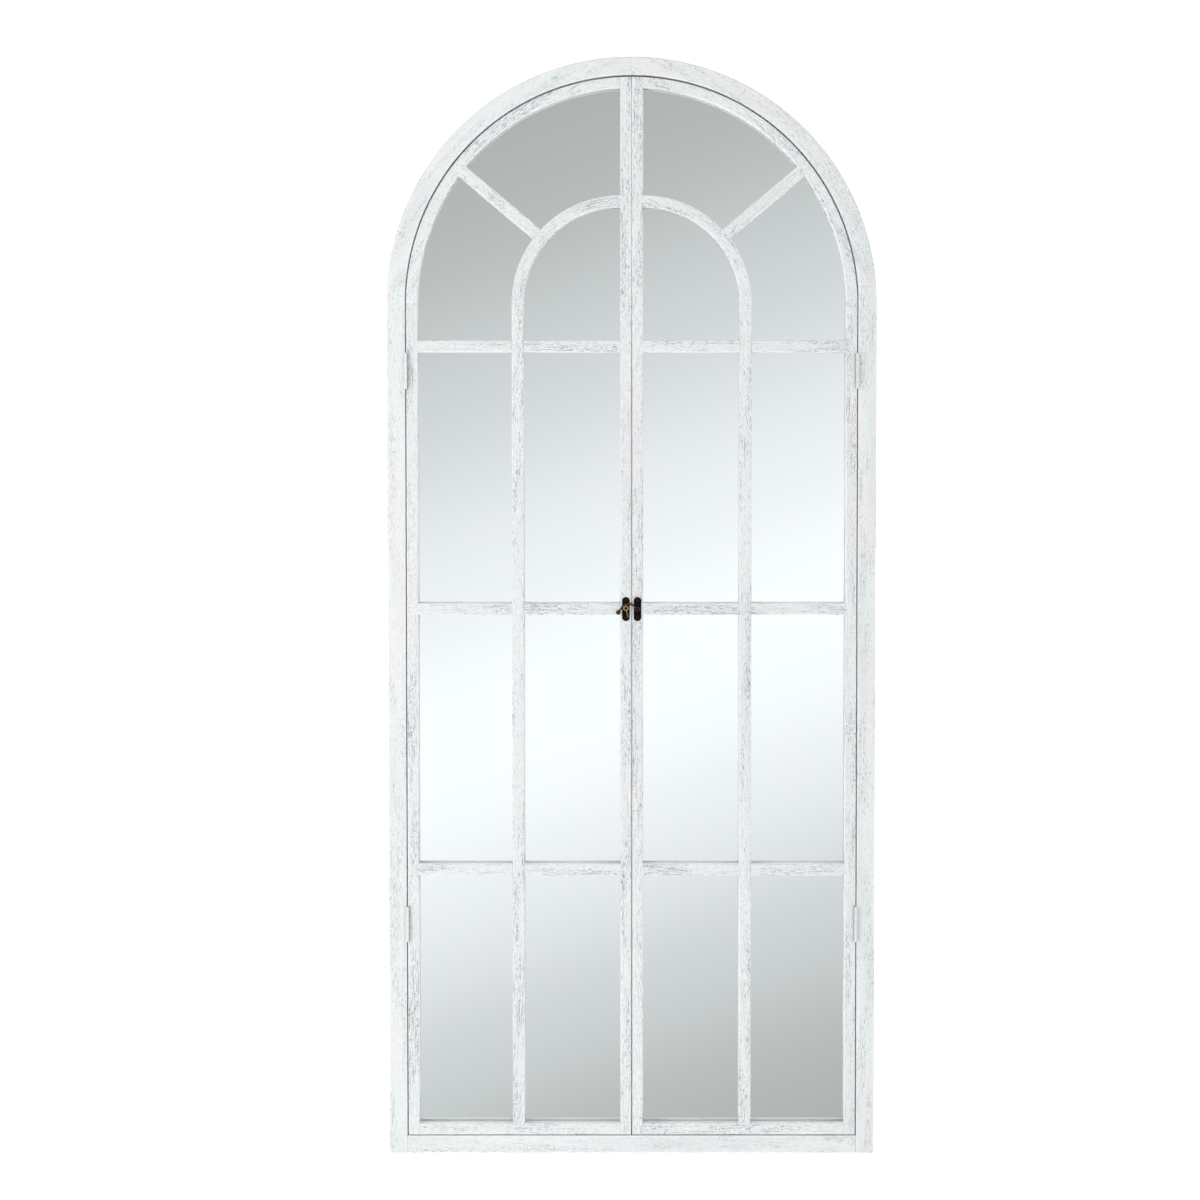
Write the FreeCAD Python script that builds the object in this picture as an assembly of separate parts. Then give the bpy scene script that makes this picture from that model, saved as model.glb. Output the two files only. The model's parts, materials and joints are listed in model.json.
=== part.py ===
import FreeCAD, Part
import math
import os

# An arched window mirror: one mirror sheet in an arched casing, behind two hinged window leaves.
# Sizes are in millimetres. Seen from in front, X runs to the right, Y to the back and Z up.
# The origin is the middle of the casing's foot, half way through its depth.

V = FreeCAD.Vector

# Casing, the fixed arched frame
overall_height = 1800.0
overall_width = 800.0
casing_depth = 36.0
casing_face = 30.0            # width of the stiles, arch and bottom rail seen from the front
casing_edge_round = 1.5       # softened front edges
arch_joint_rise = 28.0        # the stiles run on this far above the springing line
casing_dowel_radius = 4.0
casing_dowel_length = 40.0

# Mirror and back board, which lie in a rebate round the back of the casing
rebate_step = 12.0            # width of the rebate across each casing member
mirror_space = 7.0            # from the back of the leaves to the mirror
mirror_thickness = 4.0
board_thickness = 3.0
sheet_clearance = 1.0         # between the edge of the sheets and the rebate
board_point_thickness = 0.8   # flat steel points that hold the board in
board_point_width = 6.0
board_point_reach = 8.0       # over the board
board_point_bite = 6.0        # into the casing
board_point_pitch = 200.0     # along the stiles and the bottom rail
board_point_turn = 22.5       # degrees between points round the arch

# Leaves, the two openable window frames
leaf_thickness = 18.0
leaf_gap = 2.4                # between leaf and casing, all round
meeting_gap = 2.0             # between the two leaves
leaf_member = 17.0            # width of the stiles, arch rail and bottom rail seen from the front
bar_face = 19.0               # width of the glazing bars seen from the front
bar_let_in = 4.0              # depth of the housings that hold the bars' ends
vertical_bar_x = 186.3        # centre of a vertical bar from the middle of the mirror
top_bar_drop = 70.0           # centre of the highest bar below the springing line
bar_names = ("lower", "middle", "upper")
latch_bar = 2                 # the latch is level with this bar, counted from the foot
inner_arch_run = 2.3          # straight end of the inner arch before the meeting stile
diagonal_angle = 40.0         # diagonal bar above the horizontal, in degrees
leaf_dowel_radius = 3.0
leaf_dowel_length = 24.0

# Stops that the closed leaves rest against
stop_length = 60.0
stop_height = 12.0
stop_clearance = 0.3

# Butt hinges, two to a leaf
hinge_length = 57.0
upper_hinge_drop = 110.0      # centre of the upper hinge below the springing line
lower_hinge_height = 381.0    # centre of the lower hinge above the foot
hinge_plate_thickness = 1.0
hinge_plate_margin = 2.0      # from the back edge of the plates to the back of the leaf
knuckle_radius = 3.0
knuckle_count = 5
knuckle_gap = 0.3             # between neighbouring knuckles
knuckle_relief = 0.35         # cut in each plate round the other plate's knuckles
knuckle_stand_off = 0.2       # between the barrel and the face of the wood
pin_radius = 1.3
pin_clearance = 0.05          # radial, in the leaf plate's knuckles
pin_head_radius = 2.2
pin_head_height = 0.8
hinge_screw_spread = 32.0     # between the two screws of a plate

# Screws
screw_shank_radius = 1.3
screw_head_radius = 2.5
screw_point_length = 3.0
screw_slot_width = 0.7
screw_slot_depth = 0.5
hinge_screw_length = 12.0
latch_screw_length = 12.0
latch_screw_dome = 0.9        # height of the raised heads on the latch plates
hanger_screw_length = 16.0

# Latch: a hook on the right leaf that drops over a headed stud on the left leaf
latch_plate_width = 12.4
latch_plate_height = 39.4
latch_plate_thickness = 1.6
latch_plate_round = 0.5
latch_screw_spread = 28.8
hook_stand_off = 1.5          # collar that holds the hook clear of the screws
hook_wire_radius = 1.45
hook_ring_radius = 3.7
hook_arc_radius = 13.3        # the arm's bend over the stud
hook_arc_x = -4.9             # centre of the bend from the middle of the mirror
hook_arc_drop = 5.0           # centre of the bend below the latch's centre line
hook_tip_x = -22.0            # centre of the ball at the tip
hook_tip_drop = 5.5
hook_ball_radius = 3.5
hook_start_angle = 22.0       # where the bend leaves the ring, in degrees
pivot_radius = 1.5
pivot_clearance = 0.05
pivot_collar_radius = 3.2
pivot_head_radius = 2.8
pivot_head_height = 1.4
pivot_head_round = 0.7
pivot_end_play = 0.3          # of the hook between the collar and the head
stud_rise = 1.6               # axis of the stud above the latch's centre line
stud_neck_radius = 3.2
stud_head_radius = 4.4
stud_head_thickness = 1.8
stud_head_round = 0.6
stud_dimple_radius = 1.7
stud_dimple_depth = 1.0
stud_tail_drop = 13.5         # foot of the stud's slanting tail below the centre line
stud_tail_offset = 3.6        # and towards the seam from the stud's axis
stud_tail_width = 2.6
stud_tail_set_back = 0.4      # behind the front of the head
stud_tail_foot = 1.2          # depth of the tail where it meets the plate

# Keyhole hangers let in flush at the back of the casing
hanger_drop = 60.0            # entry hole below the springing line
hanger_width = 14.0
hanger_length = 46.0
hanger_thickness = 1.5
hanger_hole_radius = 4.25
hanger_slot_radius = 2.25
hanger_slot_rise = 11.0
hanger_screw_spread = 37.0
hanger_hole_offset = 5.0      # entry hole below the middle of the plate
hanger_pocket_margin = 1.25   # pocket for the wall screw's head, round the keyhole
hanger_pocket_depth = 9.0

overcut = 5.0                 # how far cutting shapes run past the wood
same_place = 1e-6             # edges closer than this to a plane lie in it

# Places worked out from the sizes above
casing_half_width = overall_width / 2
springing_z = overall_height - casing_half_width
front_y = -casing_depth / 2
back_y = casing_depth / 2
opening_half_width = casing_half_width - casing_face
rebate_half_width = opening_half_width + rebate_step
rebate_foot_z = casing_face - rebate_step
arch_joint_z = springing_z + arch_joint_rise
leaf_back_y = front_y + leaf_thickness
mirror_front_y = leaf_back_y + mirror_space
mirror_back_y = mirror_front_y + mirror_thickness
board_back_y = mirror_back_y + board_thickness
leaf_half_width = opening_half_width - leaf_gap
leaf_foot_z = casing_face + leaf_gap
leaf_sight_x = leaf_half_width - leaf_member      # inner edge of the hinge stile
leaf_sight_z = leaf_foot_z + leaf_member          # top of the bottom rail
seam_x = meeting_gap / 2
meeting_sight_x = seam_x + leaf_member            # inner edge of the meeting stile
rail_centre_z = leaf_foot_z + leaf_member / 2
bar_pitch = (springing_z - top_bar_drop - rail_centre_z) / len(bar_names)
latch_z = rail_centre_z + latch_bar * bar_pitch
latch_x = seam_x + leaf_member / 2                # middle of a meeting stile
pivot_line_x = opening_half_width - leaf_gap / 2
pivot_line_y = front_y - knuckle_stand_off - knuckle_radius
latch_face_y = front_y - latch_plate_thickness
collar_front_y = latch_face_y - hook_stand_off
hook_y = collar_front_y - pivot_end_play / 2 - hook_wire_radius
head_back_y = hook_y - hook_wire_radius - pivot_end_play / 2     # of the post's head and the stud's
inner_arch_x = meeting_sight_x + inner_arch_run                  # centre of the inner arch
inner_arch_outer = vertical_bar_x + bar_face / 2 - inner_arch_x
inner_arch_inner = inner_arch_outer - bar_face
hanger_x = (casing_half_width + rebate_half_width) / 2
hanger_hole_z = springing_z - hanger_drop


def box(x0, x1, y0, y1, z0, z1):
    return Part.makeBox(x1 - x0, y1 - y0, z1 - z0, V(x0, y0, z0))


def disc(x, z, radius, y0, y1):
    """A cylinder along Y."""
    return Part.makeCylinder(radius, y1 - y0, V(x, y0, z), V(0, 1, 0))


def slab(edges, y0, y1):
    """The closed outline drawn in the plane y0, given depth to y1."""
    return Part.Face(Part.Wire(edges)).extrude(V(0, y1 - y0, 0))


def line(a, b):
    return Part.LineSegment(a, b).toShape()


def arc(a, middle, b):
    return Part.Arc(a, middle, b).toShape()


def arched_slab(half_width, foot_z, y0, y1):
    """A slab with a level foot and a round head centred on the springing line."""
    left_foot = V(-half_width, y0, foot_z)
    right_foot = V(half_width, y0, foot_z)
    right_spring = V(half_width, y0, springing_z)
    left_spring = V(-half_width, y0, springing_z)
    crown = V(0, y0, springing_z + half_width)
    edges = [line(left_foot, right_foot), line(right_foot, right_spring),
             arc(right_spring, crown, left_spring), line(left_spring, left_foot)]
    return slab(edges, y0, y1)


def racetrack(x, z, width, height, y0, y1):
    """An upright slab with round ends."""
    radius = width / 2
    straight = height / 2 - radius
    top_left = V(x - radius, y0, z + straight)
    top_right = V(x + radius, y0, z + straight)
    low_left = V(x - radius, y0, z - straight)
    low_right = V(x + radius, y0, z - straight)
    edges = [arc(top_left, V(x, y0, z + height / 2), top_right), line(top_right, low_right),
             arc(low_right, V(x, y0, z - height / 2), low_left), line(low_left, top_left)]
    return slab(edges, y0, y1)


def aimed(shape, start, direction):
    """A copy of a shape drawn along +Z, moved to start and turned along direction."""
    copy = shape.copy()
    copy.Placement = FreeCAD.Placement(start, FreeCAD.Rotation(V(0, 0, 1), direction))
    return copy


def rod(start, direction, radius, length):
    return Part.makeCylinder(radius, length, start, direction)


def mirrored(shape):
    return shape.mirror(V(0, 0, 0), V(1, 0, 0))


def cut_all(shape, tools):
    for tool in tools:
        if shape.BoundBox.intersect(tool.BoundBox):
            shape = shape.cut(tool)
    return shape


def screw_body(length, dome):
    """A countersunk screw along +Z. The rim of its head is at z = 0, its point at z = length."""
    head_depth = screw_head_radius - screw_shank_radius
    head = Part.makeCone(screw_head_radius, screw_shank_radius, head_depth)
    shank = Part.makeCylinder(screw_shank_radius, length - screw_point_length)
    point = Part.makeCone(screw_shank_radius, 0, screw_point_length, V(0, 0, length - screw_point_length))
    body = head.fuse([shank, point])
    if dome > 0:
        ball_radius = (screw_head_radius ** 2 + dome ** 2) / (2 * dome)
        ball = Part.makeSphere(ball_radius, V(0, 0, ball_radius - dome))
        cap = ball.common(Part.makeCylinder(screw_head_radius, dome, V(0, 0, -dome)))
        body = body.fuse(cap)
    return body.removeSplitter()


def screw(length, dome=0.0):
    """A screw with a slot across its head."""
    slot = box(-screw_head_radius, screw_head_radius, -screw_slot_width / 2, screw_slot_width / 2,
               -dome, screw_slot_depth - dome)
    return screw_body(length, dome).cut(slot)


def seated_screws(places, direction, length, dome=0.0):
    """Screws at the given places, and the solids that cut their holes."""
    screws = [aimed(screw(length, dome), place, direction) for place in places]
    holes = [aimed(screw_body(length, dome), place, direction) for place in places]
    return screws, holes


# ---------------------------------------------------------------- casing

def casing_ring():
    """The whole arched frame, rebated at the back and softened at the front."""
    ring = arched_slab(casing_half_width, 0, front_y, back_y)
    ring = ring.cut(arched_slab(opening_half_width, casing_face, front_y - overcut, back_y + overcut))
    ring = ring.cut(arched_slab(rebate_half_width, rebate_foot_z, mirror_front_y, back_y + overcut))
    front_edges = [edge for edge in ring.Edges if edge.BoundBox.YMax < front_y + same_place]
    return ring.makeFillet(min(casing_edge_round, casing_face / 4), front_edges)


def casing_members():
    ring = casing_ring()
    y0 = front_y - overcut
    y1 = back_y + overcut
    reach = casing_half_width + overcut
    rail_space = box(-opening_half_width, opening_half_width, y0, y1, -overcut, casing_face)
    left_stile = ring.common(box(-reach, 0, y0, y1, -overcut, arch_joint_z)).cut(rail_space)
    left_arch = ring.common(box(-reach, 0, y0, y1, arch_joint_z, overall_height + overcut))
    return {
        "casing_left_stile": left_stile,
        "casing_right_stile": mirrored(left_stile),
        "casing_left_arch": left_arch,
        "casing_right_arch": mirrored(left_arch),
        "casing_bottom_rail": ring.common(rail_space),
    }


def casing_dowels():
    """Dowels in the joints of the casing, in the solid wood in front of the rebate."""
    half = casing_dowel_length / 2
    y = (front_y + mirror_front_y) / 2
    middle_radius = casing_half_width - casing_face / 2
    stile_x = math.sqrt(middle_radius ** 2 - arch_joint_rise ** 2)
    dowels = [rod(V(-half, y, springing_z + middle_radius), V(1, 0, 0), casing_dowel_radius,
                  casing_dowel_length)]
    for side in (-1, 1):
        rail_joint = V(side * opening_half_width - half, y, casing_face / 2)
        arch_joint = V(side * stile_x, y, arch_joint_z - half)
        dowels.append(rod(rail_joint, V(1, 0, 0), casing_dowel_radius, casing_dowel_length))
        dowels.append(rod(arch_joint, V(0, 0, 1), casing_dowel_radius, casing_dowel_length))
    return dowels


def board_points():
    """Flat points driven into the rebate's wall behind the board."""
    def point(x, z, outward_degrees):
        """One point on the rebate's wall, driven outwards."""
        shape = box(-board_point_reach, board_point_bite, board_back_y, board_back_y + board_point_thickness,
                    -board_point_width / 2, board_point_width / 2)
        shape.rotate(V(0, 0, 0), V(0, 1, 0), -outward_degrees)
        shape.translate(V(x, 0, z))
        return shape

    points = []
    for z in stepped(rebate_foot_z, springing_z, board_point_pitch):
        points.append(point(-rebate_half_width, z, 180))
        points.append(point(rebate_half_width, z, 0))
    for x in stepped(-rebate_half_width, rebate_half_width, board_point_pitch):
        points.append(point(x, rebate_foot_z, -90))
    for turn in stepped(0, 180, board_point_turn):
        x = rebate_half_width * math.cos(math.radians(turn))
        z = springing_z + rebate_half_width * math.sin(math.radians(turn))
        points.append(point(x, z, turn))
    return points


def stepped(start, end, pitch):
    """Even places between start and end, about a pitch apart and half a step from the ends."""
    count = max(1, round((end - start) / pitch))
    step = (end - start) / count
    return [start + step * (index + 0.5) for index in range(count)]


def closing_stops():
    """Blocks on the casing behind the middle of the leaves' rails."""
    y0 = leaf_back_y + stop_clearance
    half = stop_length / 2
    bottom = box(-half, half, y0, mirror_front_y, casing_face, casing_face + stop_height)
    crown = disc(0, springing_z, opening_half_width, y0, mirror_front_y)
    crown = crown.common(box(-half, half, y0, mirror_front_y,
                             springing_z + opening_half_width - stop_height, overall_height))
    return bottom, crown


# ---------------------------------------------------------------- leaves

def leaf_members():
    """The wooden members of the left leaf and their dowels."""
    y0 = front_y
    y1 = leaf_back_y
    middle_y = (front_y + leaf_back_y) / 2
    outline = arched_slab(leaf_half_width, leaf_foot_z, y0, y1)
    inner_disc = disc(0, springing_z, leaf_sight_x, y0, y1)
    hinge_stile = box(-leaf_half_width, -leaf_sight_x, y0, y1, leaf_foot_z, springing_z)
    meeting_stile = outline.common(box(-meeting_sight_x, -seam_x, y0, y1, leaf_foot_z, overall_height))
    arch_rail = outline.common(box(-leaf_half_width, -meeting_sight_x, y0, y1, springing_z, overall_height))
    arch_rail = arch_rail.cut(inner_disc)
    bottom_rail = box(-leaf_sight_x, -meeting_sight_x, y0, y1, leaf_foot_z, leaf_sight_z)

    # The vertical bar runs through in front and the level bars run through behind it.
    vertical_bar = box(-vertical_bar_x - bar_face / 2, -vertical_bar_x + bar_face / 2, y0, y1,
                       leaf_sight_z - bar_let_in, springing_z)
    vertical_front = box(-vertical_bar_x - bar_face / 2, -vertical_bar_x + bar_face / 2, y0, middle_y,
                         leaf_sight_z, springing_z)
    level_bars = {}
    for number, name in enumerate(bar_names, start=1):
        z = rail_centre_z + number * bar_pitch
        bar = box(-leaf_sight_x - bar_let_in, -meeting_sight_x + bar_let_in, y0, y1,
                  z - bar_face / 2, z + bar_face / 2)
        level_bars[name] = bar.cut(vertical_front)
    vertical_bar = cut_all(vertical_bar, level_bars.values())

    inner_arch_bar = inner_arch(y0, y1)
    diagonal_bar = diagonal(y0, y1)

    stile_x = leaf_half_width - leaf_member / 2
    crown_z = springing_z + math.sqrt(stile_x ** 2 - meeting_sight_x ** 2)
    half = leaf_dowel_length / 2
    level_places = [V(-leaf_sight_x - half, middle_y, rail_centre_z),
                    V(-meeting_sight_x - half, middle_y, rail_centre_z),
                    V(-meeting_sight_x - half, middle_y, crown_z)]
    upright_places = [V(-stile_x, middle_y, springing_z - half),
                      V(-vertical_bar_x, middle_y, springing_z - half)]
    dowels = [rod(place, V(1, 0, 0), leaf_dowel_radius, leaf_dowel_length) for place in level_places]
    dowels += [rod(place, V(0, 0, 1), leaf_dowel_radius, leaf_dowel_length) for place in upright_places]

    ends = list(level_bars.values()) + [vertical_bar, inner_arch_bar]
    members = {
        "hinge_stile": cut_all(hinge_stile, ends + dowels),
        "meeting_stile": cut_all(meeting_stile, ends + dowels),
        "arch_rail": cut_all(arch_rail, [diagonal_bar] + dowels),
        "bottom_rail": cut_all(bottom_rail, ends + dowels),
        "vertical_bar": cut_all(vertical_bar, dowels),
        "inner_arch_bar": cut_all(inner_arch_bar, [diagonal_bar] + dowels),
        "diagonal_bar": diagonal_bar,
    }
    for name, bar in level_bars.items():
        members[name + "_bar"] = bar
    return members, dowels


def inner_arch(y0, y1):
    """A quarter ring from the top of the vertical bar to the meeting stile."""
    def on_ring(radius, degrees):
        angle = math.radians(degrees)
        return V(-inner_arch_x + radius * math.cos(angle), y0, springing_z + radius * math.sin(angle))

    end_x = -meeting_sight_x + bar_let_in
    outer_end = V(end_x, y0, springing_z + inner_arch_outer)
    inner_end = V(end_x, y0, springing_z + inner_arch_inner)
    outer_arc = arc(on_ring(inner_arch_outer, 180), on_ring(inner_arch_outer, 135), on_ring(inner_arch_outer, 90))
    inner_arc = arc(on_ring(inner_arch_inner, 90), on_ring(inner_arch_inner, 135), on_ring(inner_arch_inner, 180))
    edges = [outer_arc, line(on_ring(inner_arch_outer, 90), outer_end), line(outer_end, inner_end),
             line(inner_end, on_ring(inner_arch_inner, 90)), inner_arc,
             line(on_ring(inner_arch_inner, 180), on_ring(inner_arch_outer, 180))]
    return slab(edges, y0, y1)


def diagonal(y0, y1):
    """A bar that points at the inner arch's centre, from that arch to the arch rail."""
    bar = box(0, leaf_half_width, y0, y1, -bar_face / 2, bar_face / 2)
    bar.rotate(V(0, 0, 0), V(0, 1, 0), diagonal_angle - 180)
    bar.translate(V(-inner_arch_x, 0, springing_z))
    bar = bar.common(disc(0, springing_z, leaf_sight_x + bar_let_in, y0, y1))
    return bar.cut(disc(-inner_arch_x, springing_z, inner_arch_outer - bar_let_in, y0, y1))


# ---------------------------------------------------------------- hinges

def hinge(centre_z):
    """One butt hinge at the left edge: its two plates, pin, screws and screw holes."""
    low = centre_z - hinge_length / 2
    pitch = hinge_length / knuckle_count
    plate_back_y = leaf_back_y - hinge_plate_margin
    casing_x = -opening_half_width
    leaf_x = -leaf_half_width

    def span(index, spare):
        """Height range of a knuckle, shortened by spare where it meets another."""
        bottom = low + index * pitch + (spare if index > 0 else 0)
        top = low + (index + 1) * pitch - (spare if index < knuckle_count - 1 else 0)
        return bottom, top

    def barrel(radius, bottom, top):
        return rod(V(-pivot_line_x, pivot_line_y, bottom), V(0, 0, 1), radius, top - bottom)

    def plate(x0, x1, own, other, bore_radius):
        shape = box(x0, x1, pivot_line_y, plate_back_y, low, low + hinge_length)
        for index in other:
            bottom, top = span(index, -knuckle_gap / 2)
            shape = shape.cut(barrel(knuckle_radius + knuckle_relief, bottom, top))
        for index in own:
            shape = shape.fuse(barrel(knuckle_radius, *span(index, knuckle_gap / 2)))
        return shape.removeSplitter().cut(barrel(bore_radius, low - overcut, low + hinge_length + overcut))

    casing_knuckles = range(0, knuckle_count, 2)
    leaf_knuckles = range(1, knuckle_count, 2)
    casing_plate = plate(casing_x, casing_x + hinge_plate_thickness, casing_knuckles, leaf_knuckles, pin_radius)
    leaf_plate = plate(leaf_x - hinge_plate_thickness, leaf_x, leaf_knuckles, casing_knuckles,
                       pin_radius + pin_clearance)
    pin = barrel(pin_radius, low, low + hinge_length)
    pin = pin.fuse([barrel(pin_head_radius, low - pin_head_height, low),
                    barrel(pin_head_radius, low + hinge_length, low + hinge_length + pin_head_height)])

    screw_y = (front_y + plate_back_y) / 2
    heights = (centre_z - hinge_screw_spread / 2, centre_z + hinge_screw_spread / 2)
    casing_places = [V(casing_x + hinge_plate_thickness, screw_y, z) for z in heights]
    leaf_places = [V(leaf_x - hinge_plate_thickness, screw_y, z) for z in heights]
    casing_screws, casing_holes = seated_screws(casing_places, V(-1, 0, 0), hinge_screw_length)
    leaf_screws, leaf_holes = seated_screws(leaf_places, V(1, 0, 0), hinge_screw_length)
    return {
        "casing_plate": cut_all(casing_plate, casing_holes),
        "leaf_plate": cut_all(leaf_plate, leaf_holes),
        "pin": pin.removeSplitter(),
        "casing_screws": casing_screws,
        "casing_holes": casing_holes,
        "leaf_screws": leaf_screws,
        "leaf_holes": leaf_holes,
    }


# ---------------------------------------------------------------- latch

def latch_plate(x):
    """A round-ended plate on the face of a meeting stile, with its screws and their holes."""
    plate = racetrack(x, latch_z, latch_plate_width, latch_plate_height, latch_face_y, front_y)
    rim = [edge for edge in plate.Edges if edge.BoundBox.YMax < latch_face_y + same_place]
    plate = plate.makeFillet(min(latch_plate_round, latch_plate_thickness / 2), rim)
    places = [V(x, latch_face_y, latch_z + side * latch_screw_spread / 2) for side in (-1, 1)]
    screws, holes = seated_screws(places, V(0, 1, 0), latch_screw_length, latch_screw_dome)
    return cut_all(plate, holes), screws, holes


def keeper_stud():
    """A necked stud with a dished head and a slanting tail that runs down to the plate."""
    x = -latch_x
    z = latch_z + stud_rise
    head_front_y = head_back_y - stud_head_thickness
    neck = disc(x, z, stud_neck_radius, head_back_y, latch_face_y)
    head = disc(x, z, stud_head_radius, head_front_y, head_back_y)
    rim = [edge for edge in head.Edges if edge.BoundBox.YMax < head_front_y + same_place]
    head = head.makeFillet(min(stud_head_round, stud_head_thickness / 2), rim)
    dimple = disc(x, z, stud_dimple_radius, head_front_y - overcut, head_front_y + stud_dimple_depth)

    # The tail narrows in depth from the head down to the plate, and leans towards the seam.
    def level_section(centre_x, level_z, section_front_y, section_back_y):
        x0 = centre_x - stud_tail_width / 2
        x1 = centre_x + stud_tail_width / 2
        corners = [V(x0, section_front_y, level_z), V(x1, section_front_y, level_z),
                   V(x1, section_back_y, level_z), V(x0, section_back_y, level_z)]
        return Part.makePolygon(corners + corners[:1])

    top = level_section(x, z, head_front_y + stud_tail_set_back, head_back_y)
    foot = level_section(x + stud_tail_offset, latch_z - stud_tail_drop,
                         latch_face_y - stud_tail_foot, latch_face_y)
    tail = Part.makeLoft([top, foot], True, True)
    return neck.fuse([head, tail]).removeSplitter().cut(dimple)


def pivot_post():
    """A collar, a shank that the hook turns on, and a head that keeps it on."""
    x = latch_x
    collar = disc(x, latch_z, pivot_collar_radius, collar_front_y, latch_face_y)
    shank = disc(x, latch_z, pivot_radius, head_back_y, collar_front_y)
    head_front_y = head_back_y - pivot_head_height
    head = disc(x, latch_z, pivot_head_radius, head_front_y, head_back_y)
    rim = [edge for edge in head.Edges if edge.BoundBox.YMax < head_front_y + same_place]
    head = head.makeFillet(min(pivot_head_round, pivot_head_height / 2), rim)
    return collar.fuse([shank, head]).removeSplitter()


def latch_hook():
    """A ring on the post, a round arm that bends over the stud, and a ball at the tip."""
    centre = V(hook_arc_x, hook_y, latch_z - hook_arc_drop)
    tip = V(hook_tip_x, hook_y, latch_z - hook_tip_drop)
    towards_tip = tip - centre
    tip_angle = math.degrees(math.atan2(towards_tip.z, towards_tip.x)) % 360
    end_angle = tip_angle - math.degrees(math.acos(hook_arc_radius / towards_tip.Length))

    def on_bend(degrees):
        angle = math.radians(degrees)
        return centre + V(math.cos(angle), 0, math.sin(angle)) * hook_arc_radius

    start = on_bend(hook_start_angle)
    end = on_bend(end_angle)
    along_bend = V(0, -1, 0).cross(start - centre)
    section = Part.Face(Part.Wire([Part.makeCircle(hook_wire_radius, start, along_bend)]))
    bend = section.revolve(centre, V(0, -1, 0), end_angle - hook_start_angle)
    straight = rod(end, tip - end, hook_wire_radius, (tip - end).Length)
    ring = disc(latch_x, latch_z, hook_ring_radius, hook_y - hook_wire_radius, hook_y + hook_wire_radius)
    ball = Part.makeSphere(hook_ball_radius, tip, end - tip)
    bore = disc(latch_x, latch_z, pivot_radius + pivot_clearance, hook_y - overcut, hook_y + overcut)
    return ring.fuse([bend, straight, ball]).cut(bore)


# ---------------------------------------------------------------- hangers

def keyhole(radius, slot_radius, y0, y1):
    """A round hole with a narrower slot above it, at the right-hand hanger."""
    hole = disc(hanger_x, hanger_hole_z, radius, y0, y1)
    slot_top = disc(hanger_x, hanger_hole_z + hanger_slot_rise, slot_radius, y0, y1)
    slot = box(hanger_x - slot_radius, hanger_x + slot_radius, y0, y1,
               hanger_hole_z, hanger_hole_z + hanger_slot_rise)
    return hole.fuse([slot, slot_top]).removeSplitter()


def hanger():
    """The right-hand keyhole plate, its screws, and what is cut out of the stile for them."""
    centre_z = hanger_hole_z + hanger_hole_offset
    y0 = back_y - hanger_thickness
    blank = racetrack(hanger_x, centre_z, hanger_width, hanger_length, y0, back_y)
    pocket = keyhole(hanger_hole_radius + hanger_pocket_margin, hanger_hole_radius + hanger_pocket_margin,
                     y0 - hanger_pocket_depth, back_y)
    places = [V(hanger_x, back_y, centre_z + side * hanger_screw_spread / 2) for side in (-1, 1)]
    screws, holes = seated_screws(places, V(0, -1, 0), hanger_screw_length)
    plate = cut_all(blank, holes + [keyhole(hanger_hole_radius, hanger_slot_radius, y0 - overcut,
                                            back_y + overcut)])
    return plate, screws, [blank, pocket] + holes


# ---------------------------------------------------------------- the whole mirror

def both_sides(shapes):
    return shapes + [mirrored(shape) for shape in shapes]


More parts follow.
